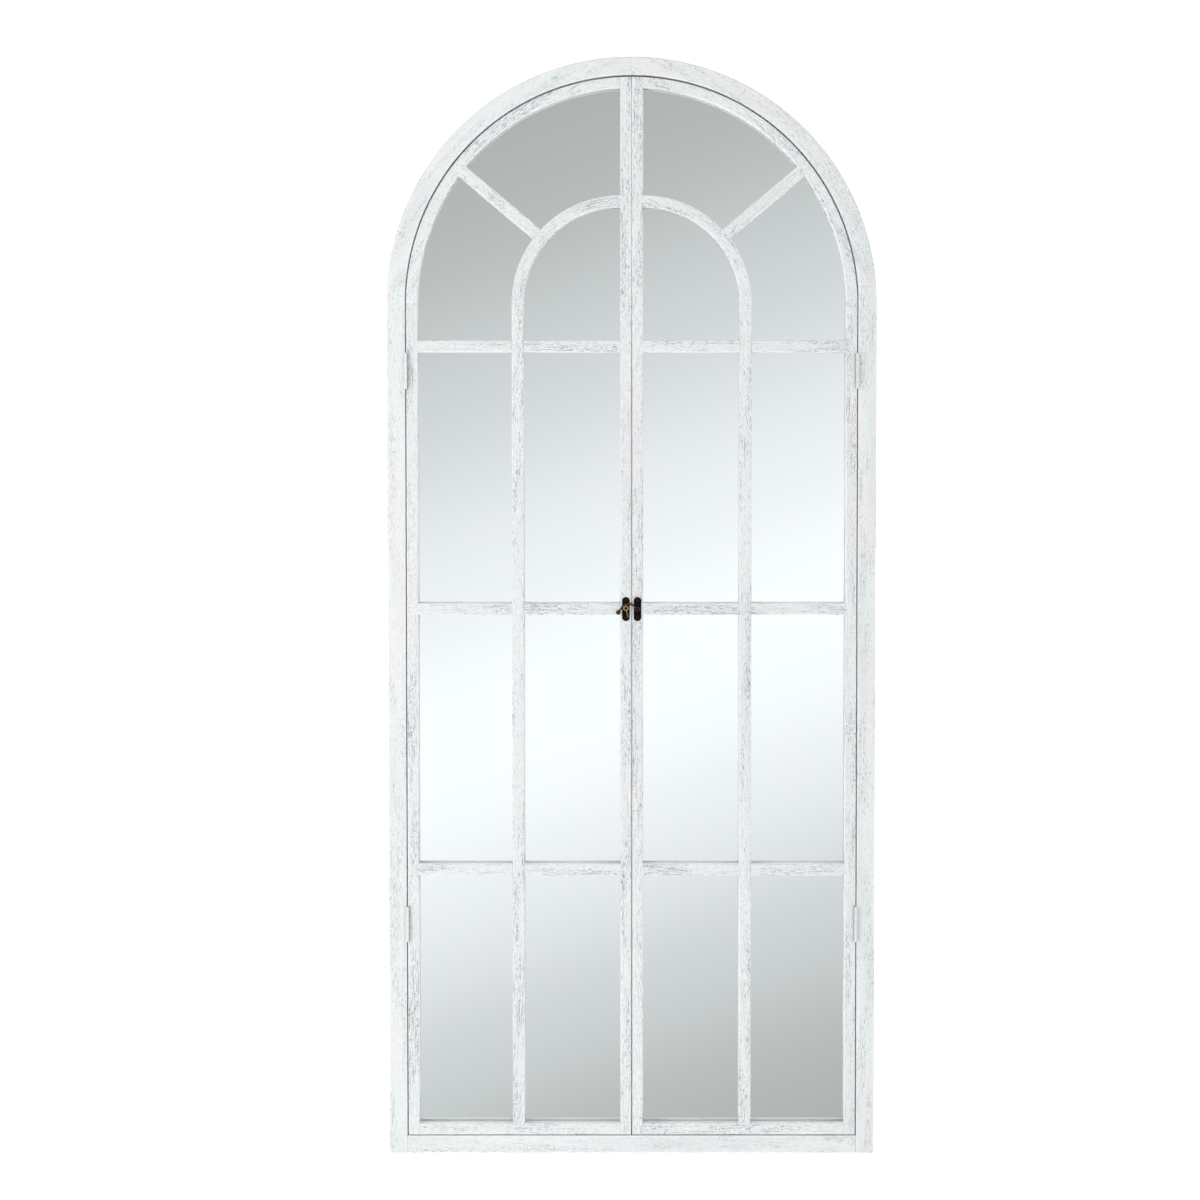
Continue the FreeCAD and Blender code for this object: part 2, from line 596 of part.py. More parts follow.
def build():
    """Every node by name, each a solid or a list of separate solids."""
    nodes = {}

    hinges = {"upper": hinge(springing_z - upper_hinge_drop), "lower": hinge(lower_hinge_height)}
    for place, pieces in hinges.items():
        for name in ("casing_plate", "leaf_plate", "pin"):
            nodes["left_%s_hinge_%s" % (place, name)] = pieces[name]
            nodes["right_%s_hinge_%s" % (place, name)] = mirrored(pieces[name])
    casing_hinge_screws = hinges["upper"]["casing_screws"] + hinges["lower"]["casing_screws"]
    casing_hinge_holes = hinges["upper"]["casing_holes"] + hinges["lower"]["casing_holes"]
    leaf_hinge_screws = hinges["upper"]["leaf_screws"] + hinges["lower"]["leaf_screws"]
    leaf_hinge_holes = hinges["upper"]["leaf_holes"] + hinges["lower"]["leaf_holes"]

    hanger_plate, hanger_screws, hanger_cuts = hanger()
    nodes["right_hanger_plate"] = hanger_plate
    nodes["left_hanger_plate"] = mirrored(hanger_plate)
    nodes["hanger_screws"] = both_sides(hanger_screws)

    points = board_points()
    nodes["board_points"] = points
    nodes["casing_dowels"] = casing_dowels()
    casing_cuts = nodes["casing_dowels"] + points + both_sides(casing_hinge_holes + hanger_cuts)
    for name, member in casing_members().items():
        nodes[name] = cut_all(member, casing_cuts)
    nodes["casing_hinge_screws"] = both_sides(casing_hinge_screws)

    sheet_half_width = rebate_half_width - sheet_clearance
    sheet_foot_z = rebate_foot_z + sheet_clearance
    nodes["mirror_sheet"] = arched_slab(sheet_half_width, sheet_foot_z, mirror_front_y, mirror_back_y)
    nodes["back_board"] = arched_slab(sheet_half_width, sheet_foot_z, mirror_back_y, board_back_y)
    nodes["bottom_stop"], nodes["crown_stop"] = closing_stops()

    keeper_plate, keeper_screws, keeper_holes = latch_plate(-latch_x)
    pivot_plate, pivot_screws, pivot_holes = latch_plate(latch_x)
    members, dowels = leaf_members()
    for name, member in members.items():
        nodes["left_" + name] = cut_all(member, leaf_hinge_holes + keeper_holes)
        right_holes = [mirrored(hole) for hole in leaf_hinge_holes] + pivot_holes
        nodes["right_" + name] = cut_all(mirrored(member), right_holes)
    nodes["left_leaf_dowels"] = dowels
    nodes["right_leaf_dowels"] = [mirrored(dowel) for dowel in dowels]
    nodes["left_hinge_screws"] = leaf_hinge_screws
    nodes["right_hinge_screws"] = [mirrored(shape) for shape in leaf_hinge_screws]

    nodes["keeper_plate"] = keeper_plate
    nodes["keeper_screws"] = keeper_screws
    nodes["keeper_stud"] = keeper_stud()
    nodes["pivot_plate"] = pivot_plate
    nodes["pivot_screws"] = pivot_screws
    nodes["pivot_post"] = pivot_post()
    nodes["latch_hook"] = latch_hook()
    return nodes


os.makedirs("parts", exist_ok=True)
for node_name, content in sorted(build().items()):
    shape = Part.makeCompound(content) if isinstance(content, list) else content
    shape.exportStep("parts/%s.step" % node_name)
    print("%-34s %3d solid(s) %14.1f mm3 valid %s"
          % (node_name, len(shape.Solids), shape.Volume, shape.isValid()))
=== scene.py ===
import json
from math import acos, asin, atan2, copysign, cos, degrees, pi, radians, sin, sqrt

import bmesh
import bpy
import numpy as np
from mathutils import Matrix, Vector, noise

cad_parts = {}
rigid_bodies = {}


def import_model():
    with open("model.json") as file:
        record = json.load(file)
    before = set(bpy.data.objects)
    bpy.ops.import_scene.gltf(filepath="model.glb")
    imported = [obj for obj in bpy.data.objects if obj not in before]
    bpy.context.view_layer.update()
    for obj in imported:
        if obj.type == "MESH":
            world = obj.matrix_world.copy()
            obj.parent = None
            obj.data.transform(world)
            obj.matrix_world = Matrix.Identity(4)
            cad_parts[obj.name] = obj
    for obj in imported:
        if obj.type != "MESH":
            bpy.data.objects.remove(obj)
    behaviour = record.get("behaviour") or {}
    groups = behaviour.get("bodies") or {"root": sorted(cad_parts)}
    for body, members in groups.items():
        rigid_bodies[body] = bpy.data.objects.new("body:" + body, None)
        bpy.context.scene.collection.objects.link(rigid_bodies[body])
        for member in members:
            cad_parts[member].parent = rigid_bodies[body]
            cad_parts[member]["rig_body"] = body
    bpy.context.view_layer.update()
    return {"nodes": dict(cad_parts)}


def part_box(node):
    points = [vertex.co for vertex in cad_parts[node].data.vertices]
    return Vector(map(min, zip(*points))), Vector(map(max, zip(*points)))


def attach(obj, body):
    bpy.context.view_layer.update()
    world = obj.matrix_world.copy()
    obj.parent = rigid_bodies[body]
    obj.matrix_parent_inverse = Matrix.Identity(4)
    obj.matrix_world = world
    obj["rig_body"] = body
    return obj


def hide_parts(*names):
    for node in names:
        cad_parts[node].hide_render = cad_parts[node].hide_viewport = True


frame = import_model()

# An arched window mirror in whitewashed wood. Lengths are in metres unless a name ends in _mm.
MM = 0.001

# Casing
SPRING_Z = 1.400              # springing line of all the arches
CASING_OUTER = 0.39999
CASING_INNER = 0.370
CASING_MIDDLE = 0.385
CASING_FACE = 0.030
CASING_FRONT = -0.018
CASING_BACK = 0.018
REBATE_RADIUS = 0.382
REBATE_FRONT = 0.007
ARCH_FOOT = 0.028             # the arches start this far above the springing line

# Leaves
LEAF_OUTER = 0.3676
LEAF_INNER = 0.3506
LEAF_FOOT = 0.0310
LEAF_MEMBER = 0.017
LEAF_FRONT = -0.018
LEAF_BACK = 0.0
HALF_LAP = -0.009
RAIL_TOP = 0.0494
BAR_FACE = 0.019
HALF_BAR = BAR_FACE / 2
BAR_X = 0.1863
BAR_PITCH = 0.4297
LET_IN = 0.004
MEETING_X = 0.018
INNER_ARCH_X = 0.0203
INNER_ARCH_OUTER = 0.1755
INNER_ARCH_INNER = 0.1565
DIAGONAL_DEGREES = 40.0
FLARE = 0.06                  # share of its width that a member is wider at the back, each side
GAP_SWELL = 0.0009            # the hinge stiles come this much nearer to the casing than drawn
GAP_LEAN = 0.0013             # and this much nearer at the back
SEAM_X = 0.001                # half the seam between the meeting stiles
SEAM_BACK_X = 0.0002          # their facing sides lean together towards the back
SEAM_TOP_X = 0.0003           # and the seam closes towards the crown
SEAM_CLOSES_Z, SEAM_CLOSES_OVER = 1.22, 0.22

# Latch
LATCH_Z = 0.9003
LATCH_X = 0.0095

# Wear. Each wooden section has its corners' rounds and the points added along its sides.
CASING_SPANS = (5, 5, 2, 1, 1, 4)
CASING_ROUNDS_MM = (1.3, 1.6, 1.0, 0.5, 0.1, 0.6)
BAR_SPANS = (4, 3, 4, 3)
LEAF_ROUNDS_MM = (1.0, 1.0, 0.8, 0.8)
MEETING_ROUNDS_MM = (0.6, 1.0, 0.8, 0.4)
END_ROUND = 0.0008
STATION_STEP = 0.011
FILLET_STEPS = 3
ARC_STEP = radians(1.6)
SOFT_EDGE = radians(38)
GRAIN_BOW = 0.385             # the arches' grain is bowed about a point this far down and across
GRAIN_RADIUS = 0.93

# Studio
WHITE = (1.0, 1.0, 1.0, 1.0)
FILL_LIGHT = 0.675            # soft light of the studio
MIRRORED_LIGHT = 2.3          # the same light with the lamps, as the mirror throws it on the wood


# ---------------- node trees

class Net:
    """A node tree. Most of its calls add one node and return the socket that it puts out."""

    def __init__(self, tree, owner=None):
        self.tree, self.owner = tree, owner

    def put(self, socket, value):
        if isinstance(value, bpy.types.NodeSocket):
            self.tree.links.new(value, socket)
        else:
            socket.default_value = value

    def feed(self, node, **inputs):
        """Sets or links a node's inputs by name; an underscore stands for a space."""
        for name, value in inputs.items():
            self.put(node.inputs[name.replace("_", " ")], value)
        return node

    def node(self, kind, settings=None, **inputs):
        node = self.tree.nodes.new(kind)
        for name, value in (settings or {}).items():
            setattr(node, name, value)
        return self.feed(node, **inputs)

    def out(self, kind, settings=None, **inputs):
        return self.node(kind, settings, **inputs).outputs[0]

    def geo(self, kind, settings=None, **inputs):
        return self.out("GeometryNode" + kind, settings, **inputs)

    def maths(self, operation, *values, clamp=False):
        node = self.node("ShaderNodeMath", dict(operation=operation, use_clamp=clamp))
        for socket, value in zip(node.inputs, values):
            self.put(socket, value)
        return node.outputs[0]

    def times(self, product, *factors):
        for factor in factors:
            product = self.maths("MULTIPLY", product, factor)
        return product

    def smooth(self, value, low, high, out_low=0.0, out_high=1.0):
        """Maps value from low..high with a soft start and end."""
        return self.out("ShaderNodeMapRange", dict(interpolation_type="SMOOTHSTEP"), Value=value,
                        From_Min=low, From_Max=high, To_Min=out_low, To_Max=out_high)

    def mix(self, share, first, second):
        node = self.node("ShaderNodeMix", dict(data_type="RGBA"))
        for index, value in ((0, share), (6, first), (7, second)):
            self.put(node.inputs[index], value)
        return node.outputs[2]

    def two_tone(self, pattern, low, high, first, second):
        return self.mix(self.smooth(pattern, low, high), srgb(*first), srgb(*second))

    def coats(self, tone, *coats):
        """Lays (share, colour) coats over a tone, one after the other."""
        for share, colour in coats:
            tone = self.mix(share, tone, colour)
        return tone

    def noise(self, scale, detail, roughness, seed, place=None):
        """Noise whose cells are 1/scale metres long in each direction of place."""
        place = place or self.node("ShaderNodeTexCoord").outputs["Object"]
        spot = self.out("ShaderNodeMapping", Vector=place, Scale=scale,
                        Location=(seed, seed * 0.7, seed * 1.3))
        return self.out("ShaderNodeTexNoise", Vector=spot, Scale=1.0, Detail=detail,
                        Roughness=roughness)

    def attribute(self, name):
        return self.node("ShaderNodeAttribute", dict(attribute_name=name)).outputs["Vector"]

    def split(self, vector):
        return self.node("ShaderNodeSeparateXYZ", Vector=vector).outputs

    def combine(self, x, y, z):
        return self.out("ShaderNodeCombineXYZ", X=x, Y=y, Z=z)

    def up(self, z):
        return self.combine(0.0, 0.0, z)

    def scaled(self, vector, scale):
        return self.out("ShaderNodeVectorMath", dict(operation="SCALE"), Vector=vector, Scale=scale)

    def surface(self, tone, rough, bump=None, **more):
        """Feeds the material's shader and returns the material. rough is what smooth takes, and
        bump a height, its strength and its depth."""
        if bump:
            height, strength, depth = bump
            more["Normal"] = self.out("ShaderNodeBump", Height=height, Strength=strength,
                                      Distance=depth)
        self.feed(self.tree.nodes["Principled BSDF"], Base_Color=tone,
                  Roughness=self.smooth(*rough), **more)
        return self.owner

    def join(self, *geometries):
        node = self.node("GeometryNodeJoinGeometry")
        for geometry in geometries:
            self.tree.links.new(geometry, node.inputs[0])
        return node.outputs[0]


def new_material(name):
    material = bpy.data.materials.new(name)
    material.use_nodes = True
    return Net(material.node_tree, material)


def srgb(red, green, blue):
    """A displayed 0..255 colour as linear light, with full alpha."""
    def linear(channel):
        share = channel / 255
        return share / 12.92 if share <= 0.04045 else ((share + 0.055) / 1.055) ** 2.4
    return (linear(red), linear(green), linear(blue), 1.0)


# ---------------- finishes

def whitewash(name, on_boards, streaks, blotches, speckle, side_shade, streak, seed):
    """Thin white paint over open grain, which follows the boards where there are boards. streaks,
    blotches and speckle say how much grey shows, and the share after speckle how strong the painted
    shade on the outermost sides is. Where there are boards, a painted shade also greys what lies
    behind the middle depth."""
    net = new_material(name)
    place = net.attribute("grain") if on_boards else None
    fibre, dash, patch, cloud, speck, warmth = (
        net.noise((along, across, across), detail, roughness, seed + shift, place)
        for along, across, detail, roughness, shift in (
            (20, 520, 3.0, 0.6, 0.0), (95, 800, 2.0, 0.6, 3.1), (8, 58, 3.0, 0.55, 5.7),
            (4.5, 36, 2.0, 0.5, 9.3), (300, 900, 2.0, 0.6, 12.9), (6, 44, 1.0, 0.5, 17.3)))

    thin_paint = net.maths("MULTIPLY_ADD", net.smooth(patch, 0.44, 0.62), 0.68, 0.32)
    flecks = net.smooth(speck, 0.56, 0.63)
    lines = net.times(net.smooth(fibre, 0.55, 0.64), thin_paint, streaks)
    dashes = net.times(net.smooth(dash, 0.54, 0.61), thin_paint, speckle)
    fine = net.times(flecks, thin_paint, 0.55 * speckle)
    marks = net.maths("ADD", net.maths("ADD", lines, dashes), fine, clamp=True)

    rim = net.split(net.attribute("rim"))
    side = net.maths("ABSOLUTE", rim[0])
    # painted highlight near the front edges, broken up along the grain
    edge_highlight = net.times(net.smooth(side, 0.70, 0.86), net.smooth(fibre, 0.30, 0.56), 0.7)
    dark_streak = tuple(channel * 0.66 for channel in streak[:3]) + (1.0,)
    tone = net.coats(
        net.two_tone(warmth, 0.40, 0.60, (238, 242, 241), (242, 241, 241)),
        (net.times(net.smooth(cloud, 0.42, 0.66), blotches), streak),
        (edge_highlight, srgb(248, 250, 249)),
        (marks, streak),
        (net.times(flecks, marks), dark_streak),
        # painted shade on the outermost sides of each member, seen as a grey outline
        (net.times(net.smooth(side, 0.90, 0.98), side_shade), srgb(186, 190, 189)),
        # painted shade over what lies behind the middle depth: the leaves' back faces and the back
        # half of the casing
        (net.smooth(rim[1], -0.05, -0.02, 0.0, 0.9 if on_boards else 0.0), srgb(192, 197, 195)))
    height = net.maths("MULTIPLY_ADD", speck, 0.25, net.times(marks, -0.6))
    return net.surface(tone, (marks, 0.0, 1.0, 0.50, 0.82), (height, 0.5, 0.0004),
                       Specular_IOR_Level=0.35)


def mirror_silver():
    """Silvered glass, faintly green and never quite flat."""
    net = new_material("mirror_silver")
    haze = net.noise((7, 7, 7), 2.0, 0.5, 2.0)
    tint = net.mix(haze, (0.955, 0.965, 0.960, 1.0), (0.965, 0.970, 0.968, 1.0))
    return net.surface(tint, (haze, 0.3, 0.7, 0.0, 0.012), Metallic=1.0)


def hardboard():
    """Pressed brown fibre board with a fine hairy speckle."""
    net = new_material("brown_hardboard")
    hairs = net.noise((420, 420, 420), 5.0, 0.7, 1.0)
    smear = net.noise((9, 9, 16), 3.0, 0.6, 4.0)
    tone = net.coats(
        net.two_tone(hairs, 0.35, 0.70, (104, 74, 48), (152, 115, 80)),
        (net.smooth(smear, 0.4, 0.8, 0.0, 0.45), srgb(120, 92, 66)))
    return net.surface(tone, (hairs, 0.2, 0.8, 0.6, 0.9), (hairs, 0.35, 0.0003))


def bare_wood():
    """Pale beech of the dowels."""
    net = new_material("pale_beech")
    fibre = net.noise((300, 300, 300), 4.0, 0.6, 7.0)
    tone = net.two_tone(fibre, 0.3, 0.7, (196, 158, 112), (222, 188, 142))
    return net.surface(tone, (fibre, 0.2, 0.8, 0.5, 0.75))


def painted_hinge():
    """White paint over steel, with painted shade in the crevice between the barrel and the wood."""
    net = new_material("painted_hinge")
    spot = net.split(net.node("ShaderNodeTexCoord").outputs["Object"])
    brushed = net.noise((900, 900, 120), 3.0, 0.6, 1.5)
    chips = net.noise((520, 520, 300), 3.0, 0.7, 8.0)
    # painted shade deep in the crevice beside the barrel, strongest on the leaf's side
    crevice_shade = net.times(net.smooth(spot[1], -0.0234, -0.0221),
                       net.smooth(spot[1], -0.0186, -0.0172, 1.0, 0.0))
    on_leaf = net.smooth(net.maths("ABSOLUTE", spot[0]), 0.3682, 0.3694, 1.0, 0.3)
    tone = net.coats(
        net.two_tone(brushed, 0.3, 0.7, (224, 227, 226), (240, 242, 241)),
        (net.smooth(chips, 0.66, 0.76, 0.0, 0.6), srgb(150, 150, 146)),
        (net.times(crevice_shade, on_leaf), srgb(66, 76, 73)))
    return net.surface(tone, (chips, 0.3, 0.7, 0.38, 0.60), (brushed, 0.3, 0.0002))


def zinc_steel():
    """Zinc plate with the soft cloudy spangle of cheap hardware."""
    net = new_material("zinc_steel")
    spangle = net.noise((260, 260, 260), 2.0, 0.5, 3.0)
    scratch = net.noise((1400, 400, 60), 3.0, 0.6, 6.0)
    tone = net.two_tone(spangle, 0.35, 0.65, (150, 152, 150), (190, 191, 187))
    return net.surface(tone, (scratch, 0.3, 0.7, 0.28, 0.48), (scratch, 0.2, 0.0001),
                       Metallic=1.0)


def antique_bronze(name, dark, wear_highlight, amount, mottling):
    """Dark bronze, turned to gold where the piece's stored wear-and-highlight share says that it
    stands proud: part real rubbing, part painted highlight.
    """
    net = new_material(name)
    mottle = net.noise((520, 520, 520), 4.0, 0.65, 2.2)
    pits = net.noise((1500, 1500, 1500), 3.0, 0.6, 5.5)
    # rubbed wear plus a painted highlight on the proud edges, read from the stored share
    wear_and_highlight = net.split(net.attribute("wear_and_highlight"))[0]
    uneven = net.times(wear_and_highlight, net.smooth(mottle, 0.25, 0.62, 0.35, 1.0))
    wear_and_highlight_share = net.maths("MULTIPLY", uneven, amount, clamp=True)
    lighter = tuple(a + mottling * b for a, b in zip(dark, wear_highlight))
    tone = net.coats(net.mix(net.smooth(mottle, 0.35, 0.70), dark, lighter), (wear_and_highlight_share, wear_highlight))
    return net.surface(tone, (pits, 0.3, 0.7, 0.34, 0.56), (pits, 0.35, 0.0002), Metallic=0.85)


finish = {
    "casing": whitewash("casing_whitewash", True, 0.40, 0.12, 0.60, 0.50, srgb(180, 185, 185), 1.0),
    "leaf": whitewash("leaf_whitewash", True, 0.52, 0.07, 0.76, 0.55, srgb(156, 160, 166), 24.0),
    "stop": whitewash("stop_whitewash", False, 0.40, 0.30, 0.30, 0.0, srgb(190, 196, 195), 31.0),
    "mirror": mirror_silver(),
    "board": hardboard(),
    "dowel": bare_wood(),
    "hinge": painted_hinge(),
    "steel": zinc_steel(),
    # each bronze's second colour is its rubbed wear together with a painted highlight
    "bronze": antique_bronze("dark_bronze", srgb(20, 16, 16), srgb(132, 104, 80), 0.30, 0.02),
    "hook": antique_bronze("hook_bronze", srgb(86, 56, 44), srgb(176, 136, 100), 0.80, 0.05),
    "keeper": antique_bronze("keeper_bronze", srgb(58, 38, 26), srgb(240, 196, 140), 1.0, 0.06),
}


# ---------------- meshes

def in_scene(name, data):
    item = bpy.data.objects.new(name, data)
    bpy.context.scene.collection.objects.link(item)
    return item


def face_outwards(mesh):
    """Turns the faces outwards and shades the soft edges smooth."""
    work = bmesh.new()
    work.from_mesh(mesh)
    bmesh.ops.recalc_face_normals(work, faces=work.faces)
    work.to_mesh(mesh)
    work.free()
    mesh.shade_smooth()
    mesh.set_sharp_from_angle(angle=SOFT_EDGE)


def closed_mesh(name, points, faces):
    mesh = bpy.data.meshes.new(name)
    mesh.from_pydata(points, [], faces)
    face_outwards(mesh)
    return mesh


def ring_faces(rings, around):
    """A face over each end of a row of rings of points, and the faces between the rings."""
    last = (rings - 1) * around
    faces = [tuple(range(around))[::-1], tuple(range(last, last + around))]
    for low in range(0, last, around):
        for index in range(around):
            following = (index + 1) % around
            faces.append((low + index, low + following, low + around + following,
                          low + around + index))
    return faces


def vertex_places(mesh):
    flat = np.zeros(len(mesh.vertices) * 3)
    mesh.vertices.foreach_get("co", flat)
    return flat.reshape(-1, 3)


def store(mesh, label, *columns):
    """Gives each point of the mesh a vector, for the materials and the trees to read."""
    layer = mesh.attributes.new(label, "FLOAT_VECTOR", "POINT")
    layer.data.foreach_set("vector", np.stack(columns, axis=1).ravel())


def applied(mesh, add_modifiers, soft_edge=SOFT_EDGE):
    """The plain result of a mesh under the modifiers that add_modifiers puts on its object."""
    carrier = in_scene("carrier", mesh)
    add_modifiers(carrier.modifiers)
    evaluated = carrier.evaluated_get(bpy.context.evaluated_depsgraph_get())
    result = bpy.data.meshes.new_from_object(evaluated)
    carrier.modifiers.clear()
    bpy.data.objects.remove(carrier)
    result.set_sharp_from_angle(angle=soft_edge)
    return result


def cut_with(mesh, cutters):
    """The mesh less the closed cutter meshes."""
    tools = [in_scene("cutter", cutter) for cutter in cutters]

    def cuts(modifiers):
        for tool in tools:
            step = modifiers.new("cut", "BOOLEAN")
            step.operation = "DIFFERENCE"
            step.solver = "EXACT"
            step.object = tool

    result = applied(mesh, cuts)
    for tool in tools:
        bpy.data.objects.remove(tool)
    return result


def show(name, mesh, nodes, material):
    """Puts a finished mesh in the scene in place of its CAD nodes, on their body."""
    mesh.materials.clear()
    mesh.materials.append(material)
    piece = in_scene(name, mesh)
    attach(piece, frame["nodes"][nodes[0]]["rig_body"])
    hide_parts(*nodes)


# ---------------- wood

def unit(vectors):
    length = np.linalg.norm(vectors, axis=-1, keepdims=True)
    return vectors / np.maximum(length, 1e-12)


def rounded_rings(corners, radii, spans):
    """Rings of points round square-cornered sections, one section per station.

    corners has shape (stations, corners, 2) and runs anticlockwise; spans gives the points added
    along the side that follows each corner. Returns the points and their outward directions.
    """
    to_previous = unit(np.roll(corners, 1, axis=1) - corners)
    to_next = unit(np.roll(corners, -1, axis=1) - corners)
    turn = to_previous[..., 0] * to_next[..., 1] - to_previous[..., 1] * to_next[..., 0]
    outward = np.where(turn < 0, 1.0, -1.0)[..., None]
    points, directions = [], []
    for index in range(corners.shape[1]):
        radius = radii[:, index, None]
        before, after = to_previous[:, index], to_next[:, index]
        centre = corners[:, index] + radius * (before + after)
        for step in range(FILLET_STEPS + 1):
            angle = radians(90.0 * step / FILLET_STEPS)
            towards = cos(angle) * after + sin(angle) * before
            points.append(centre - radius * towards)
            directions.append(-towards * outward[:, index])
        following = (index + 1) % corners.shape[1]
        start = corners[:, index] + radius * after
        end = corners[:, following] + radii[:, following, None] * to_previous[:, following]
        side = np.stack([after[:, 1], -after[:, 0]], axis=-1)
        for step in range(spans[index]):
            share = (step + 1) / (spans[index] + 1)
            points.append(start * (1 - share) + end * share)
            directions.append(side)
    return np.stack(points, axis=1), np.stack(directions, axis=1)


def station_places(length, breaks=(), step=STATION_STEP):
    """Places along a member: close pairs at its ends and at each break, even steps between."""
    marks = [0.0]
    for place in sorted(breaks):
        marks += [place - 0.00005, place + 0.00005]
    marks.append(length)
    places = {END_ROUND, length - END_ROUND}
    for start, stop in zip(marks[::2], marks[1::2]):
        count = max(1, round((stop - start) / step))
        places |= {start + (stop - start) * index / count for index in range(count + 1)}
    return np.array(sorted(places))


def arc_places(end_share):
    """Even places from 0 to 1 along a quarter arch, with a close pair at each end."""
    count = round((pi / 2) / ARC_STEP)
    even = {index / count for index in range(count + 1)}
    return np.array(sorted(even | {end_share, 1 - end_share}))


def wavering(points, scale, seed):
    """Smooth noise from -1 to 1 at each of an array of (x, y, z) points."""
    shift = Vector((seed * 7.13, seed * 3.71, seed * 5.37))
    values = [noise.noise(Vector(point) * scale + shift) for point in points.reshape(-1, 3)]
    return np.array(values).reshape(points.shape[:-1])


def member(name, inner, outer, places, section, spans, rounds_mm, seed, wear_mm=0.28):
    """A worn wooden member swept along its two edge lines, as a mesh.

    inner and outer give the (x, z) places of the edges at each station. section(place) gives the
    corners as (share of the way from inner to outer, y), anticlockwise.
    """
    inner_line = np.array([inner(place) for place in places])
    outer_line = np.array([outer(place) for place in places])
    widths = np.linalg.norm(outer_line - inner_line, axis=1)
    corners = np.array([section(place) for place in places], dtype=float)
    corners[..., 0] *= widths[:, None]

    middle = (inner_line + outer_line) / 2
    where = np.stack([middle[:, 0], np.zeros(len(places)), middle[:, 1]], axis=1)
    radii = np.zeros(corners.shape[:2])
    for index, radius_mm in enumerate(rounds_mm):
        slow = wavering(where, 22.0, seed + index)
        nick = np.clip(wavering(where, 70.0, seed + 40 + index) - 0.32, 0, 1)
        radii[:, index] = radius_mm * MM * np.clip(1 + 0.45 * slow + 2.2 * nick, 0.5, 2.4)
    ring, outward = rounded_rings(corners, radii, spans)

    def in_space(ring):
        share = ring[..., 0] / widths[:, None]
        flat = inner_line[:, None, :] + (outer_line - inner_line)[:, None, :] * share[..., None]
        return np.stack([flat[..., 0], ring[..., 1], flat[..., 1]], axis=-1)

    dent = 0.5 + 0.5 * wavering(in_space(ring), 34.0, seed + 80)
    dent = np.clip(dent, 0, 1) * wear_mm * MM
    dent[0] = dent[-1] = END_ROUND
    solid = in_space(ring - outward * dent[..., None])
    return closed_mesh(name, solid.reshape(-1, 3).tolist(), ring_faces(*solid.shape[:2]))


def lay_grain(mesh, grain_line, seed, rim_line=None):
    """Stores where each point is in its own board ("grain") and on its own face ("rim").

    A line is (x, z, direction in degrees); an arc is (x, z, radius, "arc").
    """
    place = vertex_places(mesh)

    def along_and_across(line):
        offset = place[:, [0, 2]] - np.array(line[:2])
        if line[-1] == "arc":
            angle = np.arctan2(offset[:, 1], offset[:, 0])
            return angle * line[2], np.linalg.norm(offset, axis=1) - line[2]
        turn = radians(line[2])
        direction = np.array([cos(turn), sin(turn)])
        return offset @ direction, offset @ np.array([-direction[1], direction[0]])

    along, across = along_and_across(grain_line)
    store(mesh, "grain", along + seed * 0.37, across + seed * 0.11, place[:, 1] + seed * 0.05)
    _, rim_across = along_and_across(rim_line or grain_line)
    store_rim(mesh, rim_across / np.abs(rim_across).max(), place)


def store_rim(mesh, across, place):
    """Stores how far each point is from the middle of its face and how deep it lies, as shares."""
    store(mesh, "rim", across, place[:, 1] / CASING_BACK, 0 * across)


def flared_section(front, back, inner=FLARE, outer=FLARE):
    """Corners of a board's section, from the inner front edge round the outer one. inner and outer
    say how far the sides flare out at the back, as shares of the width."""
    return [(0, front), (1, front), (1 + outer, back), (-inner, back)]


def rebated_section(depth=REBATE_FRONT):
    """Corners of the casing's section, with the mirror's rebate at the back inner edge."""
    step = (REBATE_RADIUS - CASING_INNER) / (CASING_OUTER - CASING_INNER)
    return [(0, CASING_FRONT), (1, CASING_FRONT), (1, CASING_BACK), (step, CASING_BACK),
            (step, depth), (0, depth)]


def upright_edge(side, x, foot=0.0):
    return lambda s: (side * x, foot + s)


def level_edges(start, *heights):
    return [lambda s, z=z: (start + s, z) for z in heights]


def bowed_edge(side, radius):
    """An edge that is straight up to the springing line and follows the arch above it."""
    def edge(z):
        rise = max(0.0, z - SPRING_Z)
        return side * sqrt(radius ** 2 - rise ** 2), z
    return edge


def swung_edge(side, radius, first, last):
    """An edge on an arch of the given radius; place runs from 0 to 1."""
    def edge(place):
        angle = first + (last - first) * place
        return side * radius * cos(angle), SPRING_Z + radius * sin(angle)
    return edge


def arch_grain(side):
    """The line that an arch's grain follows: flatter than the arch, as in a sawn board."""
    return -side * GRAIN_BOW, SPRING_Z - GRAIN_BOW, GRAIN_RADIUS, "arc"


# ---------------- casing

def casing_stile(side):
    """An upright of the casing, with the hanger's recess cut out of its back."""
    top = SPRING_Z + ARCH_FOOT
    notch = CASING_OUTER - REBATE_RADIUS

    def section(z):
        return rebated_section(REBATE_FRONT if z > notch else CASING_BACK - 0.0012)

    mesh = member("stile", bowed_edge(side, CASING_INNER), bowed_edge(side, CASING_OUTER),
                  station_places(top, breaks=(notch,)), section, CASING_SPANS, CASING_ROUNDS_MM,
                  seed=2 + side)
    mesh = cut_with(mesh, hanger_recess(side))
    lay_grain(mesh, (side * CASING_MIDDLE, 0, 90), 3 + side)
    return mesh


def casing_arch(side):
    edges = [swung_edge(side, radius, asin(ARCH_FOOT / radius), pi / 2)
             for radius in (CASING_INNER, CASING_OUTER)]
    mesh = member("arch", *edges, arc_places(0.0014), lambda place: rebated_section(),
                  CASING_SPANS, CASING_ROUNDS_MM, seed=12 + side)
    middle = (CASING_INNER + CASING_OUTER) / 2
    lay_grain(mesh, arch_grain(side), 7 + side, (0, SPRING_Z, middle, "arc"))
    return mesh


